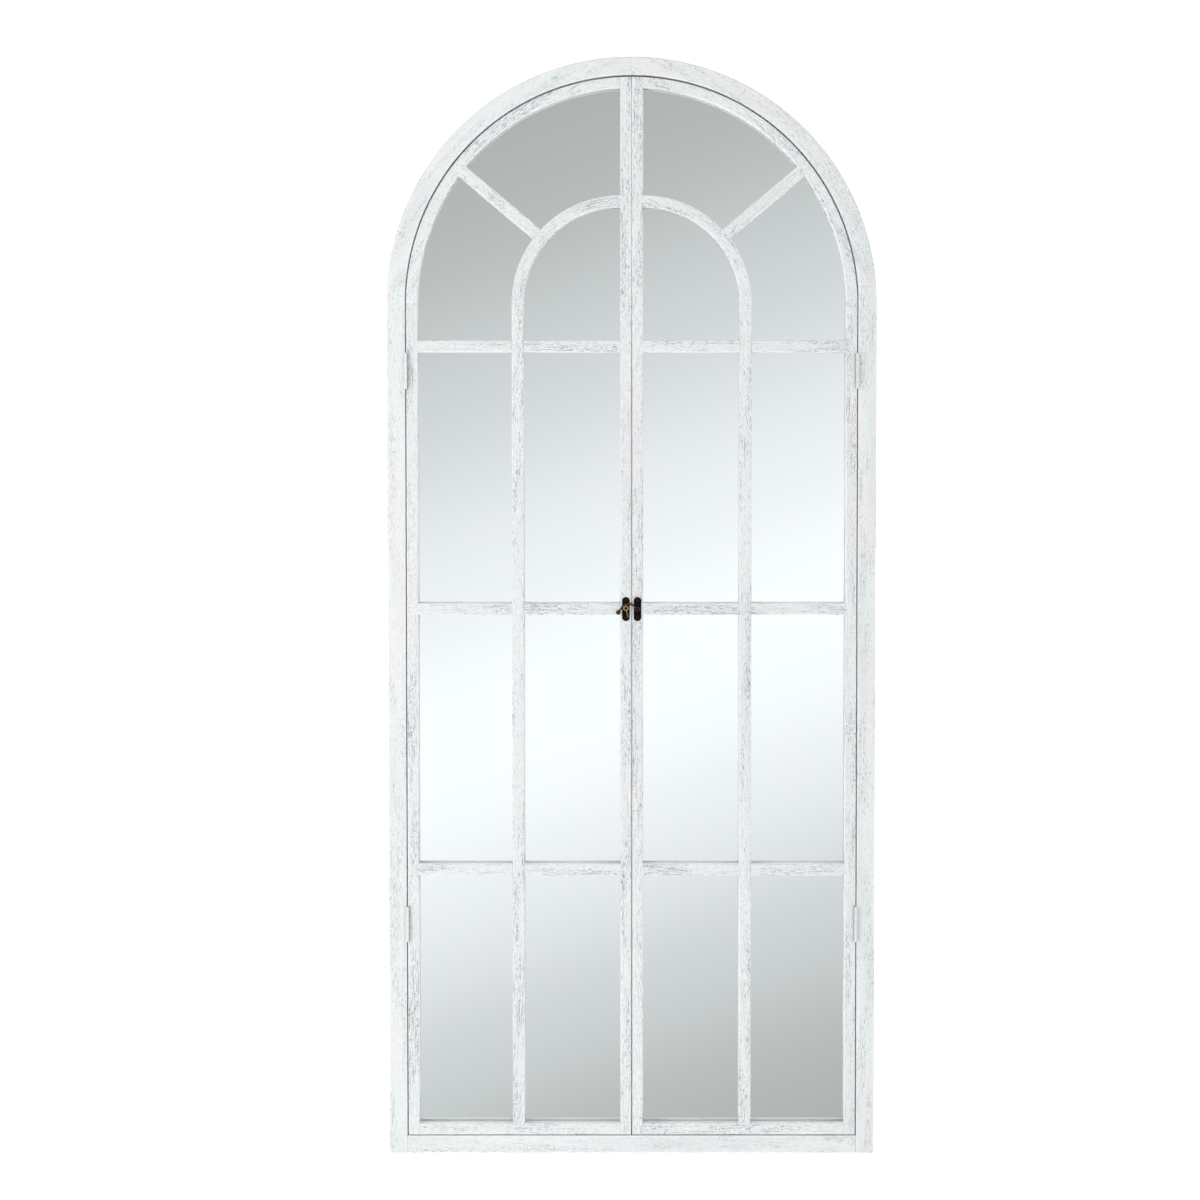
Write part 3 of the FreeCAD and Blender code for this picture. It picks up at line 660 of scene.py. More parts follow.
def casing_rail():
    mesh = member("rail", *level_edges(-CASING_INNER, CASING_FACE, 0.0),
                  station_places(2 * CASING_INNER), lambda s: rebated_section(), CASING_SPANS,
                  CASING_ROUNDS_MM, seed=22)
    lay_grain(mesh, (0, CASING_FACE / 2, 0), 11)
    return mesh


def racetrack_outline(x, z, half_width, half_height, steps=14):
    """Points round an upright shape with round ends."""
    straight = half_height - half_width
    outline = []
    for index in range(2 * steps):
        angle = pi * (index + 0.5) / steps
        shift = straight if index < steps else -straight
        outline.append((x + half_width * cos(angle), z + shift + half_width * sin(angle)))
    return outline


def prism(name, outline, y0, y1):
    """A closed block with the given outline, seen from the front, between two depths."""
    points = [(x, y, z) for y in (y0, y1) for x, z in outline]
    return closed_mesh(name, points, ring_faces(2, len(outline)))


def box_middle(node):
    low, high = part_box(node)
    return low, high, (low.x + high.x) / 2, (low.z + high.z) / 2


def hanger_recess(side):
    """What the keyhole plate and the wall screw's head need cut out of a stile."""
    low, high, x, z = box_middle("left_hanger_plate" if side < 0 else "right_hanger_plate")
    plate = prism("recess", racetrack_outline(x, z, 7.05 * MM, 23.05 * MM), low.y, high.y + 4 * MM)
    pocket = prism("pocket", racetrack_outline(x, z + 0.5 * MM, 5.5 * MM, 11 * MM),
                   low.y - 9 * MM, low.y + 1 * MM)
    return [plate, pocket]


def build_casing():
    pieces = {}
    for side, word in ((-1, "left"), (1, "right")):
        pieces[word + "_stile"] = casing_stile(side)
        pieces[word + "_arch"] = casing_arch(side)
    pieces["bottom_rail"] = casing_rail()
    for name, mesh in pieces.items():
        show("worn_casing_" + name, mesh, ["casing_" + name], finish["casing"])


# ---------------- leaves

def leaf_piece(word, name, edges, places, section, seed, grain_line, rim_line=None,
               rounds_mm=LEAF_ROUNDS_MM, **wear):
    mesh = member(name, *edges, places, section, BAR_SPANS, rounds_mm, seed, **wear)
    lay_grain(mesh, grain_line, seed, rim_line)
    node = "%s_%s" % (word, name)
    show("worn_" + node, mesh, [node], finish["leaf"])


def by_the_gap(s):
    """Section of the hinge stile, at 0, and of the arch rail, which narrows to what was drawn."""
    near = max(0.0, 1 - s / 0.3) / LEAF_MEMBER
    return [(0, LEAF_FRONT), (1 + near * GAP_SWELL, LEAF_FRONT), (1 + near * GAP_LEAN, LEAF_BACK),
            (-FLARE, LEAF_BACK)]


def leaf_frame(side, word):
    """The leaf's outer members: hinge stile, meeting stile, arch rail and bottom rail."""
    seed = 30 if side < 0 else 50
    edges = [upright_edge(side, x, LEAF_FOOT) for x in (LEAF_INNER, LEAF_OUTER)]
    middle = (LEAF_INNER + LEAF_OUTER) / 2
    leaf_piece(word, "hinge_stile", edges, station_places(SPRING_Z - LEAF_FOOT),
               lambda s: by_the_gap(0), seed, (side * middle, 0, 90))

    meeting_stile(side, word, seed + 1)

    edges = [swung_edge(side, radius, 0, acos(MEETING_X / radius))
             for radius in (LEAF_INNER, LEAF_OUTER)]
    leaf_piece(word, "arch_rail", edges, arc_places(0.0016), by_the_gap, seed + 2,
               arch_grain(side), (0, SPRING_Z, middle, "arc"))

    start = min(side * MEETING_X, side * LEAF_INNER)
    section = flared_section(LEAF_FRONT, LEAF_BACK, outer=0)
    leaf_piece(word, "bottom_rail", level_edges(start, RAIL_TOP, LEAF_FOOT),
               station_places(LEAF_INNER - MEETING_X), lambda s: section, seed + 3,
               (0, (LEAF_FOOT + RAIL_TOP) / 2, 0))


def meeting_stile(side, word, seed):
    """The upright beside the seam. Its top follows the arch, and place runs from 0 to 1."""
    def crown(x):
        return SPRING_Z + sqrt(LEAF_OUTER ** 2 - x ** 2)

    def height(x, s):
        return LEAF_FOOT + s * (crown(x) - LEAF_FOOT)

    def half_seam(s):
        closing = min(1.0, max(0.0, (height(SEAM_X, s) - SEAM_CLOSES_Z) / SEAM_CLOSES_OVER))
        return SEAM_X + (SEAM_TOP_X - SEAM_X) * closing

    def seam_edge(s):
        x = half_seam(s)
        return side * x, height(x, s)

    def sight_edge(s):
        return side * MEETING_X, height(MEETING_X, s)

    def leaning(s):
        x = half_seam(s)
        return flared_section(LEAF_FRONT, LEAF_BACK, inner=(x - SEAM_BACK_X) / (MEETING_X - x))

    total = crown(SEAM_X) - LEAF_FOOT
    leaf_piece(word, "meeting_stile", (seam_edge, sight_edge), station_places(total) / total,
               leaning, seed, (side * (SEAM_X + MEETING_X) / 2, 0, 90),
               rounds_mm=MEETING_ROUNDS_MM, wear_mm=0.12)


def bar_height(number):
    return RAIL_TOP - LEAF_MEMBER / 2 + number * BAR_PITCH


def vertical_bar(side, word, seed):
    """The upright bar, half-lapped over the level bars."""
    foot = RAIL_TOP - LET_IN
    laps = [(height - HALF_BAR, height + HALF_BAR)
            for height in (bar_height(number) - foot for number in (1, 2, 3))]

    def lapped(s):
        crossing = any(low < s < high for low, high in laps)
        return flared_section(LEAF_FRONT, HALF_LAP if crossing else LEAF_BACK)

    edges = [upright_edge(side, BAR_X + shift, foot) for shift in (-HALF_BAR, HALF_BAR)]
    breaks = [edge for lap in laps for edge in lap]
    leaf_piece(word, "vertical_bar", edges, station_places(SPRING_Z - foot, breaks), lapped, seed,
               (side * BAR_X, 0, 90))


def inner_arch_bar(side, word, seed):
    """The small arch over the upright bar, and its short level run into the meeting stile."""
    run = INNER_ARCH_X - MEETING_X + LET_IN
    radius = (INNER_ARCH_INNER + INNER_ARCH_OUTER) / 2
    bend = radius * pi / 2

    def arch_edge(r):
        def edge(s):
            if s > bend:
                return side * (INNER_ARCH_X - (s - bend)), SPRING_Z + r
            angle = s / radius
            return side * (INNER_ARCH_X + r * cos(angle)), SPRING_Z + r * sin(angle)
        return edge

    leaf_piece(word, "inner_arch_bar", (arch_edge(INNER_ARCH_INNER), arch_edge(INNER_ARCH_OUTER)),
               station_places(bend + run, step=0.005),
               lambda s: flared_section(LEAF_FRONT, LEAF_BACK), seed,
               (side * INNER_ARCH_X, SPRING_Z, radius, "arc"))


def diagonal_bar(side, word, seed):
    """The slanting bar between the two arches."""
    turn = radians(DIAGONAL_DEGREES)
    along = np.array([side * cos(turn), sin(turn)])
    across = np.array([-side * sin(turn), cos(turn)])
    centre = np.array([side * INNER_ARCH_X, SPRING_Z])

    def slanting_edge(shift):
        near = sqrt((INNER_ARCH_OUTER - LET_IN) ** 2 - shift ** 2)
        base = centre + across * shift
        offset = base - np.array([0, SPRING_Z])
        middle = offset @ along
        reach = LEAF_INNER + LET_IN
        far = -middle + sqrt(middle ** 2 - offset @ offset + reach ** 2)
        return lambda s: tuple(base + along * (near + (far - near) * s))

    length = LEAF_INNER - INNER_ARCH_OUTER
    leaf_piece(word, "diagonal_bar", (slanting_edge(-HALF_BAR), slanting_edge(HALF_BAR)),
               station_places(length) / length, lambda s: flared_section(LEAF_FRONT, LEAF_BACK),
               seed, (centre[0], centre[1], degrees(atan2(along[1], along[0]))))


# ---------------- repeated pieces

def repeat_net(name, sizes, counts=()):
    """An empty geometry tree with named inputs; returns it and its inputs' sockets."""
    tree = bpy.data.node_groups.new(name, "GeometryNodeTree")

    def add(way, kind, *labels):
        for label in labels:
            tree.interface.new_socket(label, in_out=way, socket_type="NodeSocket" + kind)

    add("INPUT", "Geometry", "Geometry")
    add("INPUT", "Float", *sizes)
    add("INPUT", "Int", *counts)
    add("INPUT", "Material", "Finish")
    add("OUTPUT", "Geometry", "Geometry")
    return Net(tree), tree.nodes.new("NodeGroupInput").outputs


def end_net(net, geometry, material):
    """Realizes the copies, gives them their finish and ends the tree."""
    realized = net.geo("RealizeInstances", Geometry=geometry)
    finished = net.geo("SetMaterial", Geometry=realized, Material=material)
    net.node("NodeGroupOutput", Geometry=finished)
    return net.tree


def bake(tree, start_mesh, values, **soft_edge):
    """Runs a tree on a mesh with the given named inputs and returns the plain result."""
    def made(modifiers):
        step = modifiers.new("made", "NODES")
        step.node_group = tree
        for item in tree.interface.items_tree:
            if item.in_out == "INPUT" and item.name in values:
                step[item.identifier] = values[item.name]
    return applied(start_mesh, made, **soft_edge)


def bar_row_tree():
    """Copies of one level bar, a pitch apart upwards, each with its own dents."""
    net, given = repeat_net("bar_row", ("Pitch", "Dent depth"), ("Count", "Seed"))
    row = net.geo("MeshLine", Count=given["Count"],
                  Offset=net.up(given["Pitch"]))
    copies = net.geo("InstanceOnPoints", Points=row, Instance=given["Geometry"])
    plain = net.geo("RealizeInstances", Geometry=copies)
    dents = net.out("ShaderNodeTexNoise", dict(noise_dimensions="4D"), W=given["Seed"],
                    Vector=net.geo("InputPosition"), Scale=48.0, Detail=1.0)
    inward = net.scaled(net.geo("InputNormal"),
                        net.times(dents, given["Dent depth"], -1.0))
    dented = net.geo("SetPosition", Geometry=plain, Offset=inward)
    return end_net(net, dented, given["Finish"])


def leaf_level_bars(side, word, tree):
    """Three level bars, let in at both ends and lapped behind the vertical bar."""
    start = min(side * (MEETING_X - LET_IN), side * (LEAF_INNER + LET_IN))
    length = LEAF_INNER - MEETING_X + 2 * LET_IN
    middle = abs(side * BAR_X - start)
    height = bar_height(1)

    def lapped(s):
        return flared_section(HALF_LAP if abs(s - middle) < HALF_BAR else LEAF_FRONT, LEAF_BACK)

    first = member("level", *level_edges(start, height + HALF_BAR, height - HALF_BAR),
                   station_places(length, (middle - HALF_BAR, middle + HALF_BAR)), lapped,
                   BAR_SPANS, LEAF_ROUNDS_MM, seed=110 + side)
    bars = bake(tree, first, {"Count": 3, "Pitch": BAR_PITCH, "Dent depth": 0.3 * MM,
                              "Seed": 5 + side, "Finish": finish["leaf"]})

    place = vertex_places(bars)
    number = np.rint((place[:, 2] - height) / BAR_PITCH)
    across = place[:, 2] - height - number * BAR_PITCH
    shift = 1.7 * number + (5.0 if side > 0 else 0.0)
    store(bars, "grain", place[:, 0] + shift, across + 0.3 * shift, place[:, 1] + 0.1 * shift)
    store_rim(bars, across / (HALF_BAR * (1 + 2 * FLARE)), place)
    nodes = ["%s_%s_bar" % (word, level) for level in ("lower", "middle", "upper")]
    show("worn_%s_level_bars" % word, bars, nodes, finish["leaf"])


def build_leaves():
    row_of_bars = bar_row_tree()
    for side, word in ((-1, "left"), (1, "right")):
        leaf_frame(side, word)
        seed = 70 if side < 0 else 90
        vertical_bar(side, word, seed)
        inner_arch_bar(side, word, seed + 1)
        diagonal_bar(side, word, seed + 2)
        leaf_level_bars(side, word, row_of_bars)


def loose_solids(node):
    """Each separate solid of a CAD node as an array of its points."""
    work = bmesh.new()
    work.from_mesh(frame["nodes"][node].data)
    bmesh.ops.remove_doubles(work, verts=work.verts, dist=1e-6)
    left = set(work.verts)
    solids = []
    while left:
        stack = [left.pop()]
        found = []
        while stack:
            vert = stack.pop()
            found.append(vert.co[:])
            for edge in vert.link_edges:
                other = edge.other_vert(vert)
                if other in left:
                    left.remove(other)
                    stack.append(other)
        solids.append(np.array(found))
    work.free()
    return sorted(solids, key=lambda points: points.mean(axis=0).round(5).tolist())


def screw_place(points):
    """Where a screw's head rim is, and the direction in which it was driven."""
    low, high = points.min(axis=0), points.max(axis=0)
    axis = int(np.argmax(high - low))
    middle = (low + high) / 2
    sides = [index for index in range(3) if index != axis]
    reach = np.abs(points[:, sides] - middle[sides]).max(axis=1)
    head = points[reach > reach.max() * 0.97, axis].mean()
    direction = np.zeros(3)
    direction[axis] = 1.0 if head < middle[axis] else -1.0
    middle[axis] = head
    return middle, direction


def point_place(points):
    """Where a glazier's point lies, and the direction in which it was driven."""
    x, _, z = (points.min(axis=0) + points.max(axis=0)) / 2
    if z > SPRING_Z:
        aim = np.array([x, 0, z - SPRING_Z])
    elif z < CASING_FACE:
        aim = np.array([0, 0, -1.0])
    else:
        aim = np.array([copysign(1.0, x), 0, 0])
    return (x, points[:, 1].min(), z), aim / np.linalg.norm(aim)


def aimed_points(node, find):
    """A mesh of one point for each solid of a node, with its direction stored as "aim"."""
    places, aims = zip(*(find(points) for points in loose_solids(node)))
    mesh = bpy.data.meshes.new("aimed_points")
    mesh.from_pydata([tuple(place) for place in places], [], [])
    store(mesh, "aim", *np.transpose(aims))
    return mesh


def stored_aim(net):
    return net.geo("InputNamedAttribute", dict(data_type="FLOAT_VECTOR"), Name="aim")


def aligned(net, axis, vector, settings=(), **inputs):
    return net.out("FunctionNodeAlignRotationToVector", dict(settings, axis=axis), Vector=vector,
                   **inputs)


def screw_head(net, given, place, head_depth):
    """A countersunk head with its top at z 0, domed or flat, and a slot across it."""
    head = net.geo("MeshCone", Vertices=28, Side_Segments=3, Fill_Segments=5,
                   Radius_Top=given["Shank radius"], Radius_Bottom=given["Head radius"],
                   Depth=head_depth)
    across = net.maths("ADD", *(net.maths("POWER", place[index], 2.0) for index in (0, 1)))
    share = net.maths("DIVIDE", across, net.maths("POWER", given["Head radius"], 2.0))
    bulge = net.times(net.maths("SUBTRACT", 1.0, share), given["Dome"])
    lift = net.times(bulge, net.maths("LESS_THAN", place[2], 1e-7), -1.0)
    domed = net.geo("SetPosition", Geometry=head, Offset=net.up(lift))
    slot_size = net.combine(net.times(given["Head radius"], 3.0), given["Slot width"],
                            net.times(given["Slot depth"], 2.0))
    slot = net.geo("Transform", Geometry=net.geo("MeshCube", Size=slot_size),
                   Translation=net.up(net.times(given["Dome"], -1.0)))
    return net.geo("MeshBoolean", dict(operation="DIFFERENCE", solver="EXACT"),
                   Mesh_1=domed, Mesh_2=slot)


def screw_shank(net, given, place, head_depth):
    """A tapered shank below the head, with one thread wound round it."""
    shank = net.geo("MeshCone", Vertices=16, Side_Segments=44,
                    Radius_Top=net.times(given["Shank radius"], 0.12),
                    Radius_Bottom=given["Shank radius"],
                    Depth=net.maths("SUBTRACT", given["Length"], head_depth))
    pitch = 1.1 * MM
    angle = net.maths("ARCTAN2", place[1], place[0])
    wave = net.maths("SINE", net.maths("ADD", net.times(place[2], 2 * pi / pitch), angle))
    swell = net.maths("MULTIPLY_ADD", wave, given["Thread depth"], -0.3)
    outward = net.scaled(net.combine(place[0], place[1], 0.0), net.maths("MAXIMUM", swell, -0.3))
    threaded = net.geo("SetPosition", Geometry=shank, Offset=outward)
    return net.geo("Transform", Geometry=threaded,
                   Translation=net.up(head_depth))


def screw_tree():
    """A slotted screw at each point, driven along the point's "aim" and turned at random."""
    net, given = repeat_net("slotted_screws", (
        "Head radius", "Shank radius", "Length", "Dome", "Slot width", "Slot depth",
        "Thread depth"), ("Seed",))
    head_depth = net.maths("SUBTRACT", given["Head radius"], given["Shank radius"])
    place = net.split(net.geo("InputPosition"))
    screw = net.join(screw_head(net, given, place, head_depth),
                     screw_shank(net, given, place, head_depth))
    spin = net.node("FunctionNodeRandomValue", dict(data_type="FLOAT"), Seed=given["Seed"])
    spin.inputs[2].default_value = 0.0
    spin.inputs[3].default_value = pi
    copies = net.geo("InstanceOnPoints", Points=given["Geometry"], Instance=screw,
                     Rotation=aligned(net, "Z", stored_aim(net)))
    turned = net.geo("RotateInstances", Instances=copies,
                     Rotation=net.up(spin.outputs[1]))
    return end_net(net, turned, given["Finish"])


def build_screws():
    tree = screw_tree()
    sizes = {"Head radius": 2.45 * MM, "Shank radius": 1.3 * MM, "Slot width": 0.7 * MM,
             "Slot depth": 0.5 * MM, "Thread depth": 0.1, "Dome": 0.0}
    rows = (("hanger_screws", 16, "steel"), ("casing_hinge_screws", 12, "steel"),
            ("left_hinge_screws", 12, "steel"), ("right_hinge_screws", 12, "steel"),
            ("keeper_screws", 12, "bronze"), ("pivot_screws", 12, "bronze"))
    for index, (node, length_mm, metal) in enumerate(rows):
        values = dict(sizes, Length=length_mm * MM, Seed=3 + index, Finish=finish[metal])
        if metal == "bronze":
            values["Dome"] = 0.85 * MM
        mesh = bake(tree, aimed_points(node, screw_place), values)
        if metal == "bronze":
            store_edge_wear_and_highlight(mesh)
        show("slotted_" + node, mesh, [node], finish[metal])


def glazier_point_tree():
    """A flat tapered point of thin steel at each point of the mesh, driven along its "aim"."""
    net, given = repeat_net("glazier_points", ("Length", "Width", "Thickness"))
    blank = net.geo("MeshGrid", Size_X=given["Length"], Size_Y=given["Width"],
                    Vertices_X=7, Vertices_Y=3)
    thick = net.geo("ExtrudeMesh", Mesh=blank, Offset_Scale=given["Thickness"],
                    Individual=False)
    both = net.join(thick, net.geo("FlipFaces", Mesh=blank))
    whole = net.geo("MergeByDistance", Geometry=both, Distance=1e-5)
    place = net.split(net.geo("InputPosition"))
    forward = net.maths("DIVIDE", place[0], given["Length"])
    narrow = net.times(place[1], net.smooth(forward, 0.05, 0.5, 0.0, -0.8))
    pointed = net.geo("SetPosition", Geometry=whole,
                      Offset=net.combine(0.0, narrow, 0.0))
    flat = aligned(net, "Z", (0.0, 1.0, 0.0))
    turned = aligned(net, "X", stored_aim(net), {"pivot_axis": "Z"}, Rotation=flat)
    copies = net.geo("InstanceOnPoints", Points=given["Geometry"], Instance=pointed,
                     Rotation=turned)
    return end_net(net, copies, given["Finish"])


def build_glazier_points():
    made = bake(glazier_point_tree(), aimed_points("board_points", point_place),
                {"Length": 14 * MM, "Width": 6 * MM, "Thickness": 0.8 * MM,
                 "Finish": finish["steel"]}, soft_edge=radians(30))
    show("driven_board_points", made, ["board_points"], finish["steel"])


# ---------------- latch

def store_edge_wear_and_highlight(mesh, gain=9.0, smooth=2):
    """Stores a share near 1 where the surface is convex and sharp: part where fingers rub it, part
    a painted highlight on the proud edges.
    """
    work = bmesh.new()
    work.from_mesh(mesh)
    work.normal_update()
    near = [[edge.other_vert(vert) for edge in vert.link_edges] for vert in work.verts]
    values = []
    for vert, others in zip(work.verts, near):
        total = sum((vert.co - other.co).normalized().dot(vert.normal) for other in others)
        values.append(total / max(1, len(others)))
    for _ in range(smooth):
        values = [0.5 * value + 0.5 * sum(values[other.index] for other in others)
                  / max(1, len(others)) for value, others in zip(values, near)]
    work.free()
    wear_and_highlight = np.clip(np.array(values) * gain, 0, 1)
    store(mesh, "wear_and_highlight", wear_and_highlight, wear_and_highlight, wear_and_highlight)


def store_ring_wear_and_highlight(mesh, x, z, inner, outer):
    """Stores that share for the keeper: a painted highlight with some wear, bright on the head's
    ring and, less so, along its tail.
    """
    place = vertex_places(mesh)
    reach = np.hypot(place[:, 0] - x, place[:, 2] - z)
    ring = np.clip((reach - inner) / (0.5 * MM), 0, 1)
    deep = np.clip((place[:, 1] - place[:, 1].min() - 1.4 * MM) / (1.2 * MM), 0, 1)
    wear_and_highlight = np.where(reach > outer, 0.55, ring * (1 - deep))
    store(mesh, "wear_and_highlight", wear_and_highlight, wear_and_highlight, wear_and_highlight)


def lathe(profile_mm, start, steps=40):
    """Points and faces of a turned shape whose axis runs back from start. profile_mm is
    (distance back, radius)."""
    direction = Vector((0, 1, 0))
    side = direction.orthogonal().normalized()
    other = direction.cross(side)
    points = []
    for along_mm, radius_mm in profile_mm:
        for step in range(steps):
            angle = 2 * pi * step / steps
            spoke = side * cos(angle) + other * sin(angle)
            spot = Vector(start) + direction * (along_mm * MM) + spoke * (radius_mm * MM)
            points.append(tuple(spot))
    return points, ring_faces(len(profile_mm), steps)


def tube(path, radii, steps, flat):
    """Points and faces of a bar along a path in a plane of constant y, flattened along y."""
    points = []
    for index, (spot, radius) in enumerate(zip(path, radii)):
        before, after = path[max(0, index - 1)], path[min(len(path) - 1, index + 1)]
        forward = (Vector(after) - Vector(before)).normalized()
        side = forward.cross(Vector((0, 1, 0))).normalized()
        for step in range(steps):
            angle = 2 * pi * step / steps
            spoke = side * cos(angle) + Vector((0, 1, 0)) * (sin(angle) * flat)
            points.append(tuple(Vector(spot) + spoke * radius))
    return points, ring_faces(len(path), steps)


def joined_mesh(name, shapes):
    points, faces = [], []
    for more_points, more_faces in shapes:
        shift = len(points)
        points += more_points
        faces += [tuple(index + shift for index in face) for face in more_faces]
    return closed_mesh(name, points, faces)


def fused(mesh, voxel_mm, smoothing):
    """One skin round overlapping closed shapes, with the corners between them softened."""
    def skin_and_soften(modifiers):
        skin = modifiers.new("skin", "REMESH")
        skin.mode = "VOXEL"
        skin.voxel_size = voxel_mm * MM
        soft = modifiers.new("soft", "SMOOTH")
        soft.factor = 0.5
        soft.iterations = smoothing

    result = applied(mesh, skin_and_soften)
    face_outwards(result)
    result.shade_smooth()
    return result


def show_latch(word, mesh, node, metal="bronze"):
    show("%s_%s" % (word, node), mesh, [node], finish[metal])


def latch_plate(node):
    """A round-ended plate whose face is pillowed and whose rim is lighter: part rubbed, part
    painted highlight.
    """
    low, high, x, z = box_middle(node)
    half_width, half_height = (high.x - low.x) / 2, (high.z - low.z) / 2
    rings = [(0.0, high.y), (0.0, high.y - (high.y - low.y) * 0.3)]
    rings += [(inset_mm * MM, low.y + rise_mm * MM) for inset_mm, rise_mm in (
        (0.0, 0.75), (0.08, 0.42), (0.28, 0.20), (0.60, 0.06), (1.0, 0.01), (1.6, 0.05),
        (2.4, 0.12), (3.6, 0.14), (5.0, 0.12))]
    steps = 22
    points = [(px, y, pz) for inset, y in rings
              for px, pz in racetrack_outline(x, z, half_width - inset, half_height - inset, steps)]
    mesh = closed_mesh(node, points, ring_faces(len(rings), 2 * steps))
    store_edge_wear_and_highlight(mesh, gain=3.2, smooth=1)
    show_latch("cast", mesh, node)


def keeper():
    """The stud: a neck, a dished head whose rim is bright with a painted highlight over its wear,
    and a slanting tail.
    """
    low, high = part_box("keeper_stud")
    x, z = -LATCH_X, LATCH_Z + 1.6 * MM
    face, head_back_mm = low.y, 1.8
    foot_mm = (high.y - face) / MM
    head = lathe([(foot_mm, 3.2), (head_back_mm + 0.3, 3.2), (head_back_mm, 3.6),
                  (head_back_mm - 0.1, 4.25), (1.0, 4.38), (0.45, 4.2), (0.12, 3.8), (0.02, 3.3),
                  (0.14, 2.8), (0.7, 2.3), (1.4, 1.7), (1.5, 0.3)], (x, face, z))
    path, radii = [], []
    for step in range(13):
        share = step / 12
        front = (face + 0.4 * MM) * (1 - share) + (high.y - 1.2 * MM) * share
        back = (face + head_back_mm * MM) * (1 - share) + high.y * share
        path.append((x + 3.6 * MM * share, (front + back) / 2 + 0.1 * MM, z - 15.1 * MM * share))
        radii.append((1.25 - 0.25 * share) * MM)
    mesh = fused(joined_mesh("keeper", [head, tube(path, radii, steps=16, flat=0.62)]), 0.2, 2)
    store_ring_wear_and_highlight(mesh, x, z, 2.3 * MM, 4.4 * MM)
    show_latch("cast", mesh, "keeper_stud", "keeper")


def post():
    """The collar, shank and domed head that the hook turns on."""
    low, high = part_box("pivot_post")
    foot_mm = (high.y - low.y) / MM
    turned = lathe([(foot_mm, 3.2), (foot_mm - 1.2, 3.15), (foot_mm - 1.5, 2.9),
                    (foot_mm - 1.5, 1.5), (1.45, 1.5), (1.4, 2.6), (1.1, 2.78), (0.7, 2.7),
                    (0.35, 2.3), (0.12, 1.5), (0.02, 0.4)], (LATCH_X, low.y, LATCH_Z))
    mesh = joined_mesh("post", [turned])
    store_edge_wear_and_highlight(mesh, gain=4.0, smooth=1)
    show_latch("turned", mesh, "pivot_post")


def hook_arm(middle_y):
    """The hook's arm: a bend, a straight run and a drop-shaped tip."""
    centre = Vector((-4.9 * MM, middle_y, LATCH_Z - 5.0 * MM))
    tip = Vector((-22.0 * MM, middle_y, LATCH_Z - 5.5 * MM))
    bend, ball, arm_radius = 13.5 * MM, 3.75 * MM, 1.72 * MM
    towards = tip - centre
    first = radians(20)
    last = atan2(towards.z, towards.x) % (2 * pi) - acos(bend / towards.length)
    path, radii = [], []
    for step in range(31):
        angle = first + (last - first) * step / 30
        path.append(centre + Vector((cos(angle), 0, sin(angle))) * bend)
        radii.append(arm_radius * (1 - 0.06 * sin(pi * step / 30)))
    end = path[-1]
    straight = tip - end
    for step in range(1, 15):
        share = step / 15
        path.append(end + straight * share)
        near = max(0.0, (share * straight.length - (straight.length - ball)) / ball)
        radii.append(max(arm_radius * 0.96, sqrt(1 - (1 - near) ** 2) * ball))
    heading = straight.normalized()
    for step in range(1, 12):
        angle = pi / 2 * step / 12
        path.append(tip + heading * (ball * sin(angle)))
        radii.append(ball * cos(angle))
    return tube(path, radii, steps=28, flat=0.86)


def hook():
    """A forged hook: a flat eye with a bore, and its arm."""
    wire_mm = 1.42
    middle_y = -22.7 * MM
    pivot = (LATCH_X, middle_y, LATCH_Z)
    eye = lathe([(share * wire_mm, radius_mm) for share, radius_mm in (
        (-1, 1.75), (-1, 3.2), (-0.75, 3.5), (0, 3.66), (0.75, 3.5), (1, 3.2), (1, 1.75))],
        pivot, steps=44)
    mesh = fused(joined_mesh("hook", [eye, hook_arm(middle_y)]), 0.2, 4)
    bore = joined_mesh("bore", [lathe([(-4, 1.56), (4, 1.56)], pivot, steps=44)])
    mesh = cut_with(mesh, [bore])
    store_edge_wear_and_highlight(mesh, gain=6.0, smooth=3)
    show_latch("forged", mesh, "latch_hook", "hook")


# ---------------- carried-over nodes

def finish_nodes():
    """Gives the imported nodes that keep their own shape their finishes."""
    hinges = [name for name in frame["nodes"]
              if "_hinge_" in name and not name.endswith(("screws", "stile"))]
    groups = {
        "mirror": ["mirror_sheet"],
        "board": ["back_board"],
        "stop": ["bottom_stop", "crown_stop"],
        "dowel": ["casing_dowels", "left_leaf_dowels", "right_leaf_dowels"],
        "steel": ["left_hanger_plate", "right_hanger_plate"],
        "hinge": hinges,
    }
    for key, names in groups.items():
        for name in names:
            mesh = frame["nodes"][name].data
            mesh.materials.clear()
            mesh.materials.append(finish[key])


# ---------------- studio

def mirrored_band(net):
    """What the mirror shows: a slanting band of light between grey flags."""
    slant = net.node("ShaderNodeVectorMath", dict(operation="DOT_PRODUCT"),
                     Vector=net.node("ShaderNodeTexCoord").outputs["Generated"])
    slant.inputs[1].default_value = (1.03, 0.0, -2.79)
    along = net.maths("ADD", slant.outputs["Value"], 0.3645)
    ramp = net.node("ShaderNodeValToRGB", Fac=along)
    ramp.color_ramp.interpolation = "CARDINAL"
    stops = ((0.06, (176, 177, 176)), (0.20, (193, 197, 197)), (0.35, (222, 226, 229)),
             (0.48, (243, 247, 250)), (0.565, (250, 254, 255)), (0.66, (242, 246, 249)),
             (0.77, (219, 223, 226)), (0.88, (194, 198, 198)), (0.985, (176, 178, 177)))
    while len(ramp.color_ramp.elements) < len(stops):
        ramp.color_ramp.elements.new(0.5)
    for element, (position, shade) in zip(ramp.color_ramp.elements, stops):
        element.position = position
        element.color = srgb(*shade)
    return ramp.outputs[0]


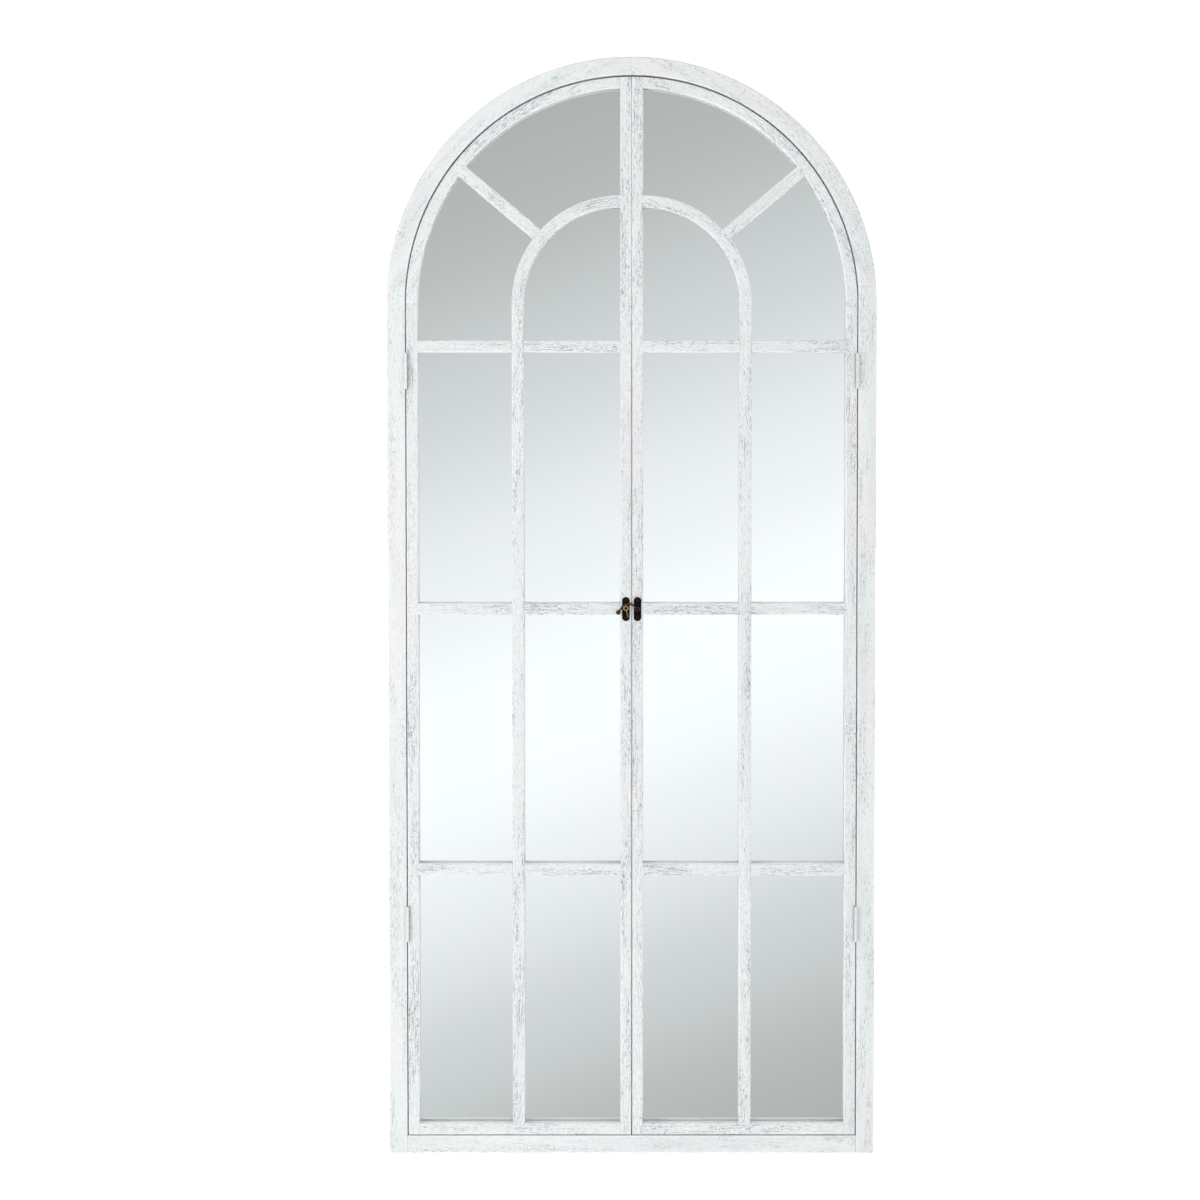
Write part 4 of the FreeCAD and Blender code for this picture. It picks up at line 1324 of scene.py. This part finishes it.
def studio_sky():
    """Soft white all round, which looks different to the camera, the mirror and the wood."""
    world = bpy.data.worlds.new("studio")
    bpy.context.scene.world = world
    world.use_nodes = True
    net = Net(world.node_tree)
    net.tree.nodes.clear()
    rays = net.node("ShaderNodeLightPath").outputs

    def light(colour, strength):
        return net.out("ShaderNodeBackground", Color=colour, Strength=strength)

    def either(share, first, second):
        node = net.node("ShaderNodeMixShader")
        for socket, value in zip(node.inputs, (share, first, second)):
            net.put(socket, value)
        return node.outputs[0]

    thrown_back = net.times(rays["Is Glossy Ray"], MIRRORED_LIGHT - FILL_LIGHT)
    fill = light((0.97, 0.985, 1.0, 1.0), net.maths("ADD", thrown_back, FILL_LIGHT))
    in_view = net.maths("LESS_THAN", rays["Diffuse Depth"], 0.5)
    lit = either(net.times(rays["Is Glossy Ray"], in_view), fill, light(mirrored_band(net), 1.04))
    backdrop = light(WHITE, 1.05)
    net.node("ShaderNodeOutputWorld", Surface=either(rays["Is Camera Ray"], lit, backdrop))


def soft_light(name, place, size, power):
    light = bpy.data.lights.new(name, "AREA")
    light.shape = "RECTANGLE"
    light.size, light.size_y = size
    light.energy = power
    lamp = in_scene(name, light)
    lamp.location = place
    aim = Vector((0, 0, 0.9)) - Vector(place)
    lamp.rotation_euler = aim.to_track_quat("-Z", "Y").to_euler()
    lamp.visible_glossy = False
    lamp.visible_camera = False


def studio_floor():
    net = new_material("pale_floor")
    cloud = net.noise((0.8, 0.8, 0.8), 2.0, 0.5, 1.0)
    tone = net.mix(cloud, (0.90, 0.90, 0.90, 1.0), (0.93, 0.93, 0.93, 1.0))
    seen = net.node("ShaderNodeLightPath").outputs["Is Camera Ray"]
    material = net.surface(tone, (cloud, 0.0, 1.0, 0.8, 0.8), Emission_Color=WHITE,
                           Emission_Strength=net.maths("MULTIPLY_ADD", seen, 0.5, 0.40))
    mesh = bpy.data.meshes.new("floor")
    reach = 30.0
    corners = [(-reach, -reach, 0), (reach, -reach, 0), (reach, reach, 0), (-reach, reach, 0)]
    mesh.from_pydata(corners, [], [(0, 1, 2, 3)])
    mesh.materials.append(material)
    floor = in_scene("floor", mesh)
    floor.visible_glossy = False


def studio():
    studio_sky()
    studio_floor()
    soft_light("key", (-2.1, -1.9, 1.0), (0.9, 2.8), 20)
    soft_light("fill", (2.9, -3.4, 1.6), (2.4, 2.4), 1)
    view = bpy.context.scene.view_settings
    view.view_transform = "Standard"
    view.look = "None"


def camera():
    """Stands 5.48 m in front of the casing and looks slightly down, as in the photograph."""
    data = bpy.data.cameras.new("camera")
    data.sensor_width = 36.0
    data.lens = 100.42
    data.shift_x = -0.0264
    data.shift_y = 0.0002
    data.clip_start, data.clip_end = 0.1, 100.0
    view = in_scene("camera", data)
    view.location = (0.0, -5.498, 1.1813)
    view.rotation_euler = (radians(90 - 2.784), 0.0, 0.0)
    bpy.context.scene.camera = view


camera()
studio()
build_casing()
build_leaves()
build_screws()
build_glazier_points()
latch_plate("keeper_plate")
latch_plate("pivot_plate")
keeper()
post()
hook()
finish_nodes()

bpy.context.view_layer.update()
